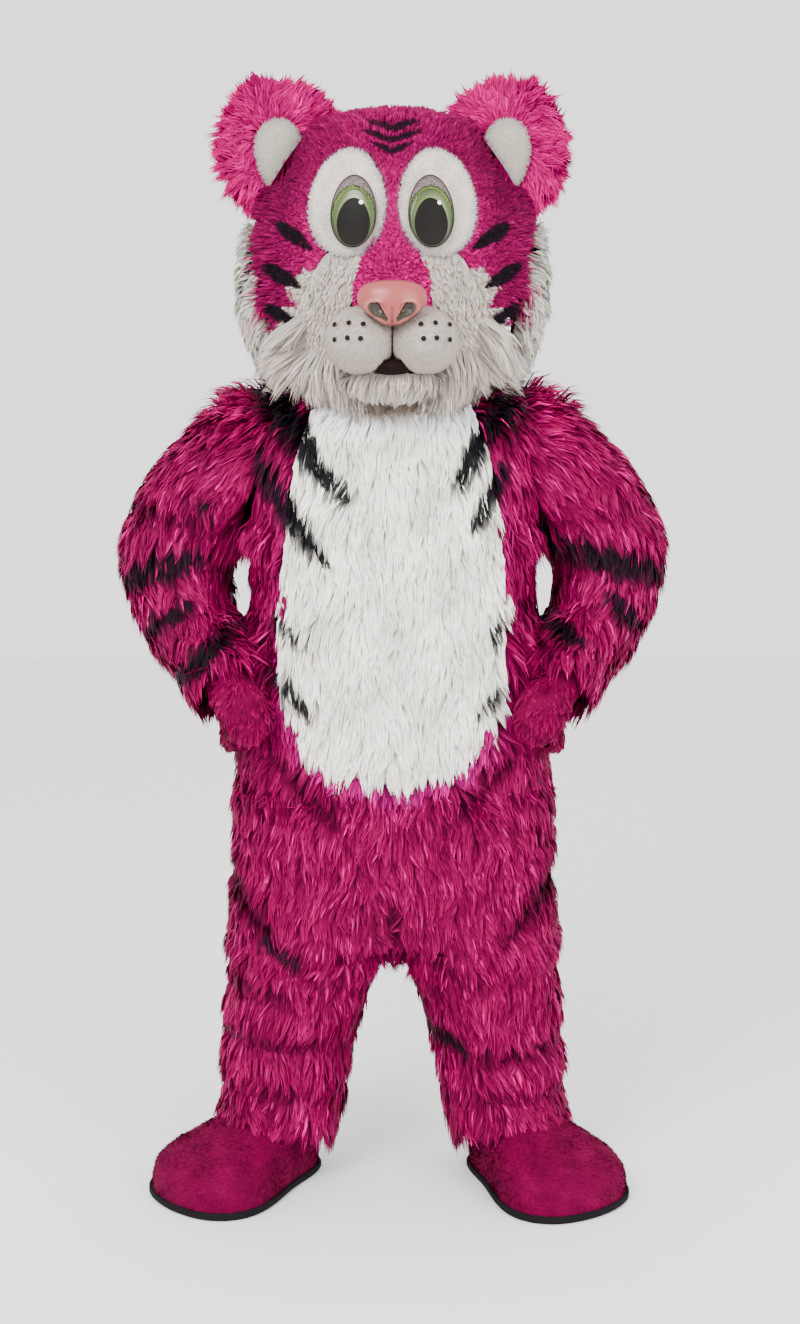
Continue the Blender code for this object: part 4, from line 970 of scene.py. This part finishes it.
def under_arm(points, normals):
    """How far a place lies on the sides that arm and trunk turn to each other, low or high in their gap."""
    x, height = np.abs(points[:, 0]), heights(points)
    outwards = normals[:, 0] * np.sign(points[:, 0])
    facing = np.where(x > 0.262, ramp(outwards, -0.05, -0.3), ramp(outwards, 0.35, 0.3) * (x > 0.19))
    low = ramp(height, 0.850, 0.03) * ramp(height, 1.040, -0.04)
    return facing * np.maximum(low, ramp(height, 1.128, 0.03) * ramp(height, 1.200, -0.04))


def suit_lift(points, normals):
    """Fur stands up on the shoulders beside the neck, and under the arms."""
    x, height = np.abs(points[:, 0]), heights(points)
    neck = ramp(height, 1.295, 0.06) * ramp(x, 0.335, -0.08) * ramp(x, 0.10, 0.05)
    return 0.011 + 0.034 * neck + 0.020 * under_arm(points, normals)


def suit_length(points, normals):
    """Fur is longer over the cuffs and the shoulders, and under the arms."""
    x, height = np.abs(points[:, 0]), heights(points)
    cuff = ramp(height, 1.010, -0.06) * ramp(x, 0.245, 0.03) * ramp(height, 0.80, 0.03)
    return 0.046 + 0.004 * cuff + 0.010 * ramp(height, 1.31, 0.05) + 0.010 * under_arm(points, normals)


def belly_lift(points, normals):
    """The belly's fur stands up into the neck under the chin."""
    return 0.010 + 0.020 * ramp(heights(points), 1.335, 0.05)


def jaw_length(points, normals):
    """The jaw's fur is long where it hangs towards the neck."""
    return 0.013 + 0.032 * ramp(heights(points), 1.448, -0.04)


def jaw_lift(points, normals):
    """The jaw's fur lies close, and hangs free under the chin."""
    return 0.0050 + 0.024 * ramp(heights(points), 1.440, -0.04)


def hem_lift(points, normals):
    """The hem's fur stands out more at the sides of the jaw."""
    return 0.026 + 0.014 * ramp(np.abs(points[:, 0]), 0.115, 0.03)


def at_hem(points):
    """Whether each place on the jaw is low on it or far to its side."""
    x, height = np.abs(points[:, 0]), heights(points)
    return (height < 1.450) | ((x > 0.134) & (height < 1.500))


def ruff_length(points, normals):
    """The ruffs are longest low on the jaw."""
    return 0.036 + 0.024 * ramp(heights(points), 1.50, -0.08)


def crease_depth(points, normals):
    """How far the suit's cloth lies below its solid: deeper along the folds and less above them."""
    trough = stripe_share(points, normals, 38, FOLDS, 0.030)
    swell = stripe_share(points - np.array([0.0, 0.0, 0.045]), normals, 38, FOLDS, 0.035)
    return 0.013 + 0.010 * trough - 0.005 * swell


def face_fringe(points, top, side, corner, edge):
    """What a size gains over the brow, beside it, over the eyes' corners and at the sides of the cheeks."""
    x, height = np.abs(points[:, 0]), heights(points)
    brow = top * ramp(height, 1.762, 0.04) + side * ramp(x, 0.085, 0.03) * ramp(height, 1.740, 0.03)
    corners = corner * ramp(x, 0.130, 0.02) * ramp(height, 1.680, 0.03)
    return brow + corners + edge * ramp(x, 0.172, 0.028) * ramp(height, 1.735, -0.04)


def face_length(points, normals):
    """Face fur is short, and long over the brow between the ears and at the sides of the cheeks."""
    return 0.0068 + face_fringe(points, 0.018, 0.014, 0.008, 0.024)


def face_lift(points, normals):
    """Face fur lies close, and stands up a little over the brow and at the sides."""
    return 0.0036 + face_fringe(points, 0.0075, 0.007, 0.004, 0.013)


def cheek_depth(points, normals):
    """The cheeks' cover draws in beside the ears, so the ears' linings stay open."""
    return 0.005 + 0.013 * ramp(np.abs(points[:, 0]), 0.120, 0.035) * ramp(heights(points), 1.700, 0.035)


def ear_edge(points, normals):
    """How far a place on an ear faces outwards, from 0 on its front to 1 on its rim."""
    x, z = points[:, 0], points[:, 2]
    out = unit(ways(points, x - np.sign(x) * EAR["x"], 0.0, z - (EAR["z"] - HOLD)))
    return np.clip((out * normals).sum(axis=1), 0, 1)


def ear_lift(points, normals):
    """Fur stands out at an ear's edge and lies on its front."""
    return 0.011 + 0.008 * ear_edge(points, normals)


def ear_depth(points, normals):
    """The ear's cover lies deeper at its rim, where the fur stands out most."""
    return 0.012 + 0.019 * ear_edge(points, normals)


# The coats. low and tip are painted shade at a strand's root and painted light at its tip, and whole is the
# share of its colour that stays along it.
FUR = {"swirl": 0.35, "stray": 0.10, "shade": 0.14, "lock_shade": 0.13, "low": 0.35, "tip": 1.22,
       "whole": 0.72}
LONG = dict(FUR, length=suit_length, lift=suit_lift, width=0.0046, per_lock=12, shade=0.10, swirl=0.55,
            lock_shade=0.16)
BACK_FUR = dict(LONG, width=0.0060)
RIM_FUR = dict(LONG, count=15000, length=0.032, lift=0.013)
BELLY_FUR = dict(FUR, length=0.042, lift=belly_lift, width=0.0042, per_lock=15, low=0.76, tip=1.04,
                 lock_shade=0.04, shade=0.05)
HEAD_FUR = dict(FUR, length=0.034, lift=0.012, width=0.0044, per_lock=10, shade=0.10)
FACE_FUR = dict(HEAD_FUR, length=face_length, lift=face_lift, width=0.0026, low=0.60, lock_shade=0.06,
                swirl=0.2, whole=0.0)
EAR_FUR = dict(HEAD_FUR, length=0.042, lift=ear_lift, low=0.60, swirl=0.8, stray=0.22, width=0.0038)
RUFF_FUR = dict(FUR, length=ruff_length, lift=0.013, width=0.0040, per_lock=14, low=0.70, tip=1.04,
                lock_shade=0.05, swirl=0.6)
JAW_FUR = dict(FUR, length=jaw_length, lift=jaw_lift, whole=0.0, width=0.0030, per_lock=9, low=0.76, tip=1.03,
               lock_shade=0.04, shade=0.05)
HEM_FUR = dict(JAW_FUR, count=15000, length=0.048, lift=hem_lift, width=0.0036, per_lock=12)
CHIN_FUR = dict(FUR, length=0.027, lift=0.009, width=0.0036, per_lock=14, low=0.70, tip=1.04, lock_shade=0.05)
GLOVE_FUR = dict(FUR, length=0.015, lift=0.0048, width=0.0034, per_lock=8, low=0.62)
PILE = {"length": 0.0065, "lift": 0.0032, "width": 0.0024}
FINE_PILE = {"length": 0.0045, "lift": 0.0026, "width": 0.0020}


def build_suit():
    """The jumpsuit's four long panels, belly panel and sleeves, each with its coat of fur."""
    backing = cloth_material("suit_backing")
    fur = fur_material("suit_fur", 0.50, 0.09, MAGENTA_GLEAM, 0.55, 1.48)
    white_fur = fur_material("belly_fur", 0.60, 0.10, PLAIN_GLEAM, 0.86, 1.10)
    magenta = striped(MAGENTA, MAGENTA_HIGHLIGHT, 31)
    white = striped(WHITE, WHITE_HIGHLIGHT, 31)
    belly = outer_skin("suit_belly_cloth", "suit_belly", suit_axis, wall=LONG_WALL)
    sink(belly, BELLY_DEPTH)
    fringe = edge_tree(belly)

    def fronts(points, normals, rng):
        colour = magenta(points, normals, rng)
        # Painted highlight: strands near the belly's edge are mixed towards the fringe's light pink, most of
        # all low down.
        share = np.exp(-(edge_gap(fringe, points) / 0.020) ** 2) * flecks(points, rng, 0.75, 0.5, 1.0)
        share *= 0.25 + 0.75 * ramp(heights(points), 0.90, -0.08)
        return mixed(colour, FRINGE_HIGHLIGHT_PINK, share * (1 - stripe_share(points, normals, 31)))

    def clear_edge(points):
        height = heights(points)
        return (edge_gap(fringe, points) > 0.014 + 0.026 * ramp(height, 0.82, -0.10)) | (height > 0.86)

    def near_edge(points):
        return (edge_gap(fringe, points) < 0.018) & (heights(points) < 0.84)

    # The rim fur over the belly's edge, in the fringe's painted highlight pink, brighter or darker at random.
    def fringe_highlight_tint(points, normals, rng):
        return np.array(FRINGE_HIGHLIGHT_PINK) * rng.uniform(0.45, 1.0, len(points))[:, None]

    jobs = [("suit_belly", "suit_belly", suit_axis, comb_belly, white, BELLY_FUR)]
    for label in SIDES:
        jobs += [("suit_front", "suit_front_" + label, suit_axis, comb_suit, fronts, LONG),
                 ("suit_back", "suit_back_" + label, suit_axis, comb_suit, magenta, BACK_FUR),
                 ("sleeve", "sleeve_" + label, arm_axis, comb_arm, magenta, LONG)]
    for seed, (kind, node, axis, comb, tint, spec) in enumerate(jobs, start=100):
        panel = PANELS[kind]
        spec = dict(spec, count=panel["count"])
        if kind == "suit_belly":
            cloth, slot, made = belly, "fur_white", white_fur
            points, _ = coordinates(cloth.data)
            coats = [grow(node + "_fur", cloth, spec, comb, tint, seed, clear_edge)]
            rim = grow("belly_rim_fur", cloth, RIM_FUR, comb, fringe_highlight_tint, 99, near_edge)
            wear(rim, fur, "fur_magenta")
            coats.append(rim)
            # The belly's backing is painted darker as shade between the strands, and pink under the rim fur.
            under = mixed(plain(WHITE_GAP_SHADE, points), np.array(FRINGE_HIGHLIGHT_PINK) * 0.5, near_edge(points))
        else:
            slot, made = "fur_magenta", fur
            cloth = outer_skin(node + "_cloth", node, axis, LONG_WALL, panel["levels"])
            sink(cloth, crease_depth(*coordinates(cloth.data)))
            coats = [grow(node + "_fur", cloth, spec, comb, tint, seed)]
            # The backing is painted dark as shade between the strands.
            under = plain(MAGENTA_GAP_SHADE, cloth.data.vertices)
        paint(cloth, under)
        thicken(cloth)
        wear(cloth, backing, slot, node)
        wear(coats[0], made, slot)


COVER = ("depth", "shade", "count", "seed", "levels", "fur")

# The covers: depth under the solid, shade of the cover itself (painted shade under its fur), strands, seed,
# levels of subdivision and coat.
COVERS = {
    "head_back": (0.014, 0.40, 11000, 200, 1, HEAD_FUR),
    "face_bridge": (0.004, 0.75, 8500, 201, 2, FACE_FUR),
    "face_jaw": (0.006, 0.75, 10500, 202, 2, JAW_FUR),
    "face_cheek": (cheek_depth, 0.70, 9000, 203, 2, FACE_FUR),
    "eye_patch": (0.0025, 0.85, 6500, 205, 2, FINE_PILE),
    "ear": (ear_depth, 0.60, 9500, 207, 1, EAR_FUR),
    "ear_lining": (0.001, 0.90, 2200, 209, 2, FINE_PILE),
    "ruff": (0.020, 0.50, 6500, 211, 1, RUFF_FUR),
    "muzzle": (0.0015, 0.90, 4500, 213, 2, FINE_PILE),
    "chin": (0.004, 0.60, 3000, 215, 2, CHIN_FUR),
    "glove": (0.003, 0.70, 4300, 301, 2, GLOVE_FUR),
    "foot_upper": (0.003, 0.75, 11500, 303, 2, PILE),
}


def dress(kind, label, axis, comb, tint, made, slot, rim=None, soften=0, keep=None):
    """A skin of short or long fur on one node: the shaped cover and its coat."""
    row = dict(zip(COVER, COVERS[kind]))
    node = kind + "_" + label if label else kind
    skin = outer_skin(node + "_cover", node, axis, levels=row["levels"], rim=rim)
    if soften:
        soften_points(skin, soften)
    sink(skin, at_place(row["depth"], *coordinates(skin.data)))
    build = grow if "per_lock" in row["fur"] else short_pile
    coat = build(node + "_pile", skin, dict(row["fur"], count=row["count"]), comb, tint, row["seed"], keep)
    colour = tint(*coordinates(skin.data), np.random.default_rng(row["seed"]))
    # The cover is painted darker than its coat: painted shade between the strands.
    paint(skin, colour * row["shade"])
    wear(skin, made["cover"], slot, node)
    wear(coat, made["fur"], slot)
    return skin


def airbrushed(colour, gap, reach, share):
    """Grey airbrushing over a colour, that fades with the gap to an edge."""
    return mixed(colour, AIRBRUSH, np.exp(-(gap / reach) ** 2) * share)


def face_tint(base, light, edges, seed, pinks=False):
    """Short fur's tint on the face: its colour, some painted highlight blades, the stripes, and grey
    airbrushing beside the eye patches.
    """
    def tint(points, normals, rng):
        # Some blades are mixed towards the light colour as painted highlights.
        colour = mixed(plain(base, points), light, flecks(points, rng, 0.2, 0.2, 0.9))
        colour *= 1.0 + 0.10 * wobble(points, 0.05, seed)[:, None]
        if base is FACE_PINK:
            colour *= 1.30 - 0.62 * ramp(heights(points), 1.60, 0.16)[:, None]
        if pinks:
            colour *= 0.74 - 0.34 * ramp(np.abs(points[:, 0]), 0.125, 0.05)[:, None]
            colour = np.where(in_tufts(points, 51)[:, None], np.array(FACE_WHITE), colour)
        gap = np.minimum(*(edge_gap(tree, points) for tree in edges))
        return mixed(airbrushed(colour, gap, 0.0055, 0.62), STRIPE, face_stripe_share(points))
    return tint


def lining_tint(edge):
    """The ear lining: pale, grey towards its edge, with the ear's pink fur ragged over it."""
    def tint(points, normals, rng):
        colour = np.array(LINING_PALE) * rng.normal(1.0, 0.05, len(points))[:, None]
        gap = edge_gap(edge, points)
        ragged = 0.0028 + 0.0022 * wobble(points, 0.012, 77) + rng.normal(0, 0.0012, len(points))
        return mixed(airbrushed(colour, gap, 0.010, 0.50), HEAD_PINK, ease((ragged - gap) / 0.0015) * 0.9)
    return tint


def ruff_tint(points, normals, rng):
    """White cheek ruffs with dark smudges and some magenta at their roots."""
    colour = np.array(RUFF_WHITE) * rng.normal(0.98, 0.07, len(points))[:, None]
    colour *= 1.0 + 0.18 * wobble(points, 0.05, 73)[:, None]
    x, height = np.abs(points[:, 0]), heights(points)
    inner = ease((0.230 - x + 0.008 * wobble(points, 0.03, 72)) / 0.010) * ramp(height, 1.475, 0.03)
    colour = mixed(colour, np.array(HEAD_PINK) * 0.9, inner * (points[:, 1] < 0.03))
    smudge = ramp(wobble(points, 0.10, 71), 0.30, 0.2) * (rng.random(len(points)) < 0.30)
    return mixed(colour, STRIPE, smudge)


def muzzle_tint(points, normals, rng):
    """White muzzle pads, with painted shade towards their edge, where they turn away from the front."""
    colour = np.array(FACE_WHITE) * rng.normal(1.0, 0.03, len(points))[:, None]
    return mixed(colour, MUZZLE_EDGE_SHADE, ramp(normals[:, 1], -0.42, 0.5) * 0.75)


def nap_tint(colour, seed):
    """Short pile of one colour, lighter and darker in random patches."""
    def tint(points, normals, rng):
        shade = 1.0 + 0.16 * wobble(points, 0.06, seed) + rng.normal(0, 0.05, len(points))
        return np.array(colour) * shade[:, None]
    return tint


def clear_of_eye(points):
    """Whether each place on an eye patch is outside the eye's plate."""
    x, z = np.abs(points[:, 0]) - EYE["x"], heights(points) - EYE["z"]
    return np.hypot(x / EYE["half_width"], z / EYE["half_height"]) > 0.97


def build_head():
    """The head's foam cover in its panels, with the ears, ruffs, muzzle and chin."""
    pink = {"cover": cloth_material("head_cover"),
            "fur": fur_material("head_fur", 0.50, 0.06, MAGENTA_GLEAM, 0.60, 1.40)}
    white = {"cover": cloth_material("white_cover"),
             "fur": fur_material("white_fur", 0.62, 0.10, PLAIN_GLEAM, 0.84, 1.12)}
    nap = {"cover": white["cover"], "fur": pile_material("white_nap", 0.65, 0.10)}
    edges = [node_edge("eye_patch_" + label, head_axis) for label in SIDES]
    cheek = face_tint(FACE_PINK, HEAD_HIGHLIGHT, edges, 41, pinks=True)
    bridge = face_tint(FACE_PINK, HEAD_HIGHLIGHT, edges, 42)
    jaw = face_tint(FACE_WHITE, FACE_LIGHT, edges, 43)
    patch = face_tint(FACE_LIGHT, WHITE, edges, 44)
    crown = striped(HEAD_PINK, HEAD_HIGHLIGHT, 33, 0.25)
    ear = striped(HEAD_PINK, HEAD_HIGHLIGHT, 35, 0.30)

    def back(points, normals, rng):
        return mixed(crown(points, normals, rng), STRIPE, face_stripe_share(points) * 0.9)

    skins = [
        dress("head_back", "", head_axis, comb_head, back, pink, "fur_magenta"),
        dress("face_bridge", "", head_axis, comb_face, bridge, pink, "pile_magenta"),
        dress("face_jaw", "", head_axis, comb_jaw, jaw, white, "pile_white"),
    ]
    hem = grow("jaw_hem_fur", skins[-1], HEM_FUR, comb_hem, jaw, 216, at_hem)
    wear(hem, white["fur"], "pile_white")
    over_patch, over_ear = comb_from(EYE_PATCH["x"], EYE_PATCH["z"]), comb_from(EAR["x"], EAR["z"])
    over_lining, over_muzzle = comb_from(0.16, 1.70), comb_from(0.02, 1.52)
    for label in SIDES:
        of_ear, of_ruff = centre_axis("ear_" + label, 0.004), centre_axis("ruff_" + label)
        of_lining, of_muzzle = centre_axis("ear_lining_" + label, 0.02), centre_axis("muzzle_" + label, 0.02)
        lining = lining_tint(node_edge("ear_lining_" + label, of_lining))
        skins += [
            dress("face_cheek", label, head_axis, comb_face, cheek, pink, "pile_magenta"),
            dress("eye_patch", label, head_axis, over_patch, patch, nap, "pile_white", keep=clear_of_eye),
            dress("ear", label, of_ear, over_ear, ear, pink, "fur_magenta"),
            dress("ear_lining", label, of_lining, over_lining, lining, nap, "ear_lining"),
            dress("ruff", label, of_ruff, comb_ruff, ruff_tint, white, "fur_white"),
            dress("muzzle", label, of_muzzle, over_muzzle, muzzle_tint, nap, "pile_white"),
        ]
    skins.append(dress("chin", "", centre_axis("chin", 0.03), comb_jaw, jaw, white, "fur_white"))


def build_nose():
    """The vinyl nose, with its nostrils and the slit under it, painted shade on its sides and a painted
    highlight round each nostril.
    """
    nose = outer_skin("nose_cover", "nose", centre_axis("nose", 0.02), levels=3)
    points, normals = coordinates(nose.data)
    x, z = np.abs(points[:, 0]), heights(points)
    t, gap = gap_to_line(ways(points, x, 0.0, points[:, 2]), NOSTRIL_AT)
    hole = gap / (NOSTRIL_AT["wide"] + (NOSTRIL_AT["wide_end"] - NOSTRIL_AT["wide"]) * t)
    front = ramp(-normals[:, 1], 0.15, 0.3)
    slit = ramp(x, NOSE_SLIT["half"] * 1.6, -NOSE_SLIT["half"]) * front
    slit *= ramp(z, NOSE_SLIT["low"], 0.003) * ramp(z, NOSE_SLIT["high"], -0.005)
    # Painted shade on the sides and underside that turn away from the front.
    colour = mixed(plain(NOSE_PINK, points), NOSE_SIDE_SHADE, 1.0 - ramp(-normals[:, 1], 0.10, 0.55))
    # A painted highlight in a ring round each nostril.
    colour = mixed(colour, NOSE_HIGHLIGHT, ramp(hole, 1.50, -0.25) * front * 0.8)
    colour = mixed(colour, NOSTRIL, ramp(hole, 1.06, -0.16) * front)
    colour = mixed(colour, NOSE_GROOVE, slit)
    sink(nose, ramp(hole, 1.15, -0.5) * front * NOSTRIL_DEEP + slit * NOSE_SLIT["deep"])
    narrow = NOSE_NARROW["share"] * (1.0 - ramp(z, NOSE_NARROW["low"], NOSE_NARROW["reach"]))
    move_points(nose, ways(points, -points[:, 0] * narrow, 0.0, 0.0))
    paint(nose, colour)
    wear(nose, painted_material("nose_rubber", 0.38, 900.0, 0.15), "nose_vinyl", "nose")


def build_mouth():
    """The mouth's dark cloth."""
    mouth = outer_skin("mouth_cover", "mouth_liner", centre_axis("mouth_liner"))
    paint(mouth, plain(MOUTH_DARK, mouth.data.vertices))
    wear(mouth, cloth_material("mouth_cloth"), "mouth_dark", "mouth_liner")


def build_eyes():
    """The eyes' three layers each, their rims and glints, and the whisker dots."""
    made_of = {"mesh": perforated_material(), "iris": painted_material("eye_plastic", 0.30, 300.0, 0.0),
               "pupil": painted_material("eye_pupil_paint", 0.55, 300.0, 0.0, 0.12)}
    domes, dots, rims = [], [], []
    for label in SIDES:
        for layer, made in made_of.items():
            node = "eye_" + layer + "_" + label
            dome = outer_skin(node + "_dome", node, centre_axis(node, 0.03), levels=3)
            points, _ = coordinates(dome.data)
            low, high = points.min(axis=0), points.max(axis=0)
            paint(dome, eye_colour(layer, (points - (low + high) / 2) / ((high - low) / 2)))
            wear(dome, made, EYE_SLOTS[layer], node)
            domes.append(dome.data)
    over = tree_of(domes)
    glint_paint = plain_paint("glint_paint", GLINT_WHITE, 0.2)
    for label, side in SIDES.items():
        tilt = math.radians(EYE["tilt"]) * side
        ring = []
        for k in range(EYE_RIM["steps"]):
            a = 2 * math.pi * k / EYE_RIM["steps"]
            u = EYE["half_width"] * EYE_RIM["share"] * math.cos(a) * (1.0 - EYE_RIM["taper"] * math.sin(a))
            v = EYE["half_height"] * EYE_RIM["share"] * math.sin(a)
            x = side * EYE["x"] + u * math.cos(tilt) - v * math.sin(tilt)
            z = EYE["z"] + u * math.sin(tilt) + v * math.cos(tilt)
            ring.append(on_face(x, z, EYE_RIM["lift"], over))
        rims.append(tube(ring, EYE_RIM["radius"]))
        for x, z in WHISKERS:
            spot = on_face(side * x, z, WHISKER_DOT["lift"])
            dots.append(disc_at(spot, WHISKER_DOT["radius"], WHISKER_DOT["height"]))
        spot = on_face(side * EYE["x"] + GLINT["x"], EYE["z"] + GLINT["z"], GLINT["lift"], over)
        shine = mesh_object("eye_glint_" + label, [disc_at(spot, GLINT["radius"], GLINT["height"])])
        wear(shine, glint_paint, "eye_black")
    thread = plain_paint("whisker_thread", THREAD_BLACK, 0.7, 0.08)
    wear(mesh_object("whisker_dots", dots), thread, "eye_black")
    wear(mesh_object("eye_rims", rims), plain_paint("eye_rim_paint", RIM_BROWN, 0.6, 0.15), "eye_black")


def eye_colour(layer, flat):
    """The painted colours of an eye's layer. flat gives the places from its middle, from -1 to 1."""
    reach = np.hypot(flat[:, 0], flat[:, 2])
    if layer == "mesh":
        colour = mixed(plain(MESH_GREY, flat), MESH_EDGE, ramp(reach, 0.80, 0.20) * 0.7)
        outer = np.hypot(flat[:, 0] / 0.985, (flat[:, 2] + 0.17) / 0.87)
        colour = mixed(colour, IRIS_GREEN, ramp(outer, 1.0, -0.02))
        return mixed(colour, IRIS_EDGE, ramp(np.abs(outer - 0.975), 0.035, -0.015))
    if layer == "pupil":
        return mixed(plain(PUPIL_BLACK, flat), PUPIL_LOW, ease(-flat[:, 2]) * 0.7)
    angle = np.arctan2(flat[:, 2], flat[:, 0])
    rays = 0.5 + 0.5 * np.sin(angle * 37.0 + 2.0 * np.sin(angle * 11.0))
    colour = plain(IRIS_GREEN, flat) * (0.88 + 0.18 * rays[:, None])
    colour = mixed(colour, IRIS_DEEP, ramp(reach, 0.74, 0.08))
    return mixed(colour, IRIS_EDGE, ramp(reach, 0.93, 0.05))


def on_face(x, z, lift, tree=CAD_TREE):
    """The place on the front of the head at an x and a height, a little way off it, and its normal."""
    place, normal, _, _ = tree.ray_cast(Vector((x, -1.0, z - HOLD)), Vector((0.0, 1.0, 0.0)))
    return place + normal * lift, normal


def band(first, after, sides):
    """Faces between two rings of points, given by the number of each ring's first point."""
    following = [(k + 1) % sides for k in range(sides)]
    return [(first + k, first + n, after + n, after + k) for k, n in enumerate(following)]


def disc_at(spot, radius, height):
    """A low dome, as points and faces, lying on the face."""
    place, normal = spot
    across = normal.orthogonal().normalized()
    other = normal.cross(across)
    points = []
    for share, lift in DISC_ROWS:
        for k in range(DISC_SIDES):
            a = 2 * math.pi * k / DISC_SIDES
            way = across * math.cos(a) + other * math.sin(a)
            points.append(place + way * (radius * share) + normal * (height * lift))
    last = len(points) - DISC_SIDES
    faces = band(0, DISC_SIDES, DISC_SIDES) + band(DISC_SIDES, last, DISC_SIDES)
    faces += [(last + k, last + (k + 1) % DISC_SIDES, len(points)) for k in range(DISC_SIDES)]
    return points + [place + normal * height], faces


def tube(path, radius):
    """A closed tube along a ring of places, as points and faces."""
    points, faces, count = [], [], len(path)
    for k, (place, normal) in enumerate(path):
        after = (k + 1) % count
        way = (path[after][0] - path[k - 1][0]).normalized()
        side = way.cross(normal).normalized()
        up = side.cross(way)
        for j in range(TUBE_SIDES):
            a = 2 * math.pi * j / TUBE_SIDES
            points.append(place + side * (radius * math.cos(a)) + up * (radius * math.sin(a)))
        faces += band(k * TUBE_SIDES, after * TUBE_SIDES, TUBE_SIDES)
    return points, faces


def mesh_object(name, parts):
    """One smooth object from several lists of points and faces."""
    bm = bmesh.new()
    for points, faces in parts:
        corners = [bm.verts.new(point) for point in points]
        for face in faces:
            bm.faces.new([corners[i] for i in face])
    bmesh.ops.recalc_face_normals(bm, faces=bm.faces)
    return from_bmesh(name, bm)


def build_gloves():
    """Two mittens with grooved fingers, in short fur."""
    made = {"cover": cloth_material("glove_cover"),
            "fur": fur_material("glove_fur", 0.55, 0.06, MAGENTA_GLEAM, 0.60, 1.35)}
    for label, side in SIDES.items():
        wrist = (WRIST["x"] * side, WRIST["y"], WRIST["z"] - HOLD)
        way = (GLOVE_WAY[0] * side, GLOVE_WAY[1], GLOVE_WAY[2])
        skin = dress("glove", label, None, comb_glove, nap_tint(MAGENTA, 81), made, "pile_magenta",
                     rim=(wrist, way), soften=5)


def build_feet():
    """Two foot covers in short pile on rubber soles."""
    made = {"cover": cloth_material("foot_cover"), "fur": pile_material("foot_nap", 0.6, 0.10, MAGENTA_GLEAM)}
    rubber = painted_material("sole_rubber", 0.85, 160.0, 0.5, 0.08)
    for label in SIDES:
        skin = dress("foot_upper", label, foot_axis, comb_foot, nap_tint(MAGENTA, 83), made, "pile_magenta",
                     soften=2)
        node = "foot_sole_" + label
        sole = rounded_copy("sole_cover_" + label, node)
        paint(sole, plain(SOLE_BLACK, sole.data.vertices))
        wear(sole, rubber, "sole_black", node)


def rounded_copy(name, node):
    """A node's whole form with its long edges rounded and its sharp ones kept."""
    sharp, strength = math.radians(40.0), 0.8
    bm = node_bmesh(node)
    bmesh.ops.join_triangles(bm, faces=bm.faces, angle_face_threshold=0.5, angle_shape_threshold=0.9)
    crease = bm.edges.layers.float.new("crease_edge")
    for edge in bm.edges:
        if len(edge.link_faces) == 2 and edge.calc_face_angle() > sharp:
            edge[crease] = strength
    return from_bmesh(name, bm, levels=2)


def build_zip():
    """The back zip's tape and coil, on the CAD node itself."""
    made, shader = material("zip_tape", 0.7, 0.3)
    coil = texture(made, "TexWave", {"Scale": 110.0})
    coil.bands_direction = "Z"
    shade = add(made, "MixRGB", {"Color1": ZIP_DARK, "Color2": ZIP_LIGHT})
    made.node_tree.links.new(coil.outputs["Fac"], shade.inputs["Fac"])
    made.node_tree.links.new(shade.outputs["Color"], shader.inputs["Base Color"])
    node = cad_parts["back_zip"]
    node.data.materials.clear()
    node.data.materials.append(made)


def build_stage():
    """The camera at the photograph's angle, a pale floor and soft light."""
    data = bpy.data.cameras.new("camera")
    data.sensor_fit = "VERTICAL"
    data.sensor_height = CAMERA["sensor"]
    data.lens = CAMERA["lens"]
    camera = new_object("camera", data)
    camera.location = (CAMERA["x"], CAMERA["y"], CAMERA["z"])
    camera.rotation_euler = (math.radians(CAMERA["pitch"]), 0.0, 0.0)
    bpy.context.scene.camera = camera
    bpy.ops.mesh.primitive_plane_add(size=14.0, location=(0.0, 0.0, CAD_LOW[2] - 0.0005))
    floor = bpy.context.object
    floor.name = "floor"
    floor.data.materials.append(plain_paint("floor_paint", FLOOR_PALE, 0.85))
    world = bpy.data.worlds.new("studio")
    world.use_nodes = True
    sky = world.node_tree.nodes["Background"]
    sky.inputs["Color"].default_value = (1.0, 1.0, 1.0, 1.0)
    sky.inputs["Strength"].default_value = SKY_STRENGTH
    bpy.context.scene.world = world
    for row in LIGHTS:
        light = bpy.data.lights.new(row["name"], "AREA")
        light.size = row["size"]
        light.energy = row["power"]
        lamp = new_object(row["name"], light)
        lamp.location = row["place"]
        lamp.rotation_euler = (Vector(LIGHTS_AIM) - Vector(row["place"])).to_track_quat("-Z", "Y").to_euler()


build_stage()
build_suit()
build_head()
build_nose()
build_mouth()
build_eyes()
build_gloves()
build_feet()
build_zip()
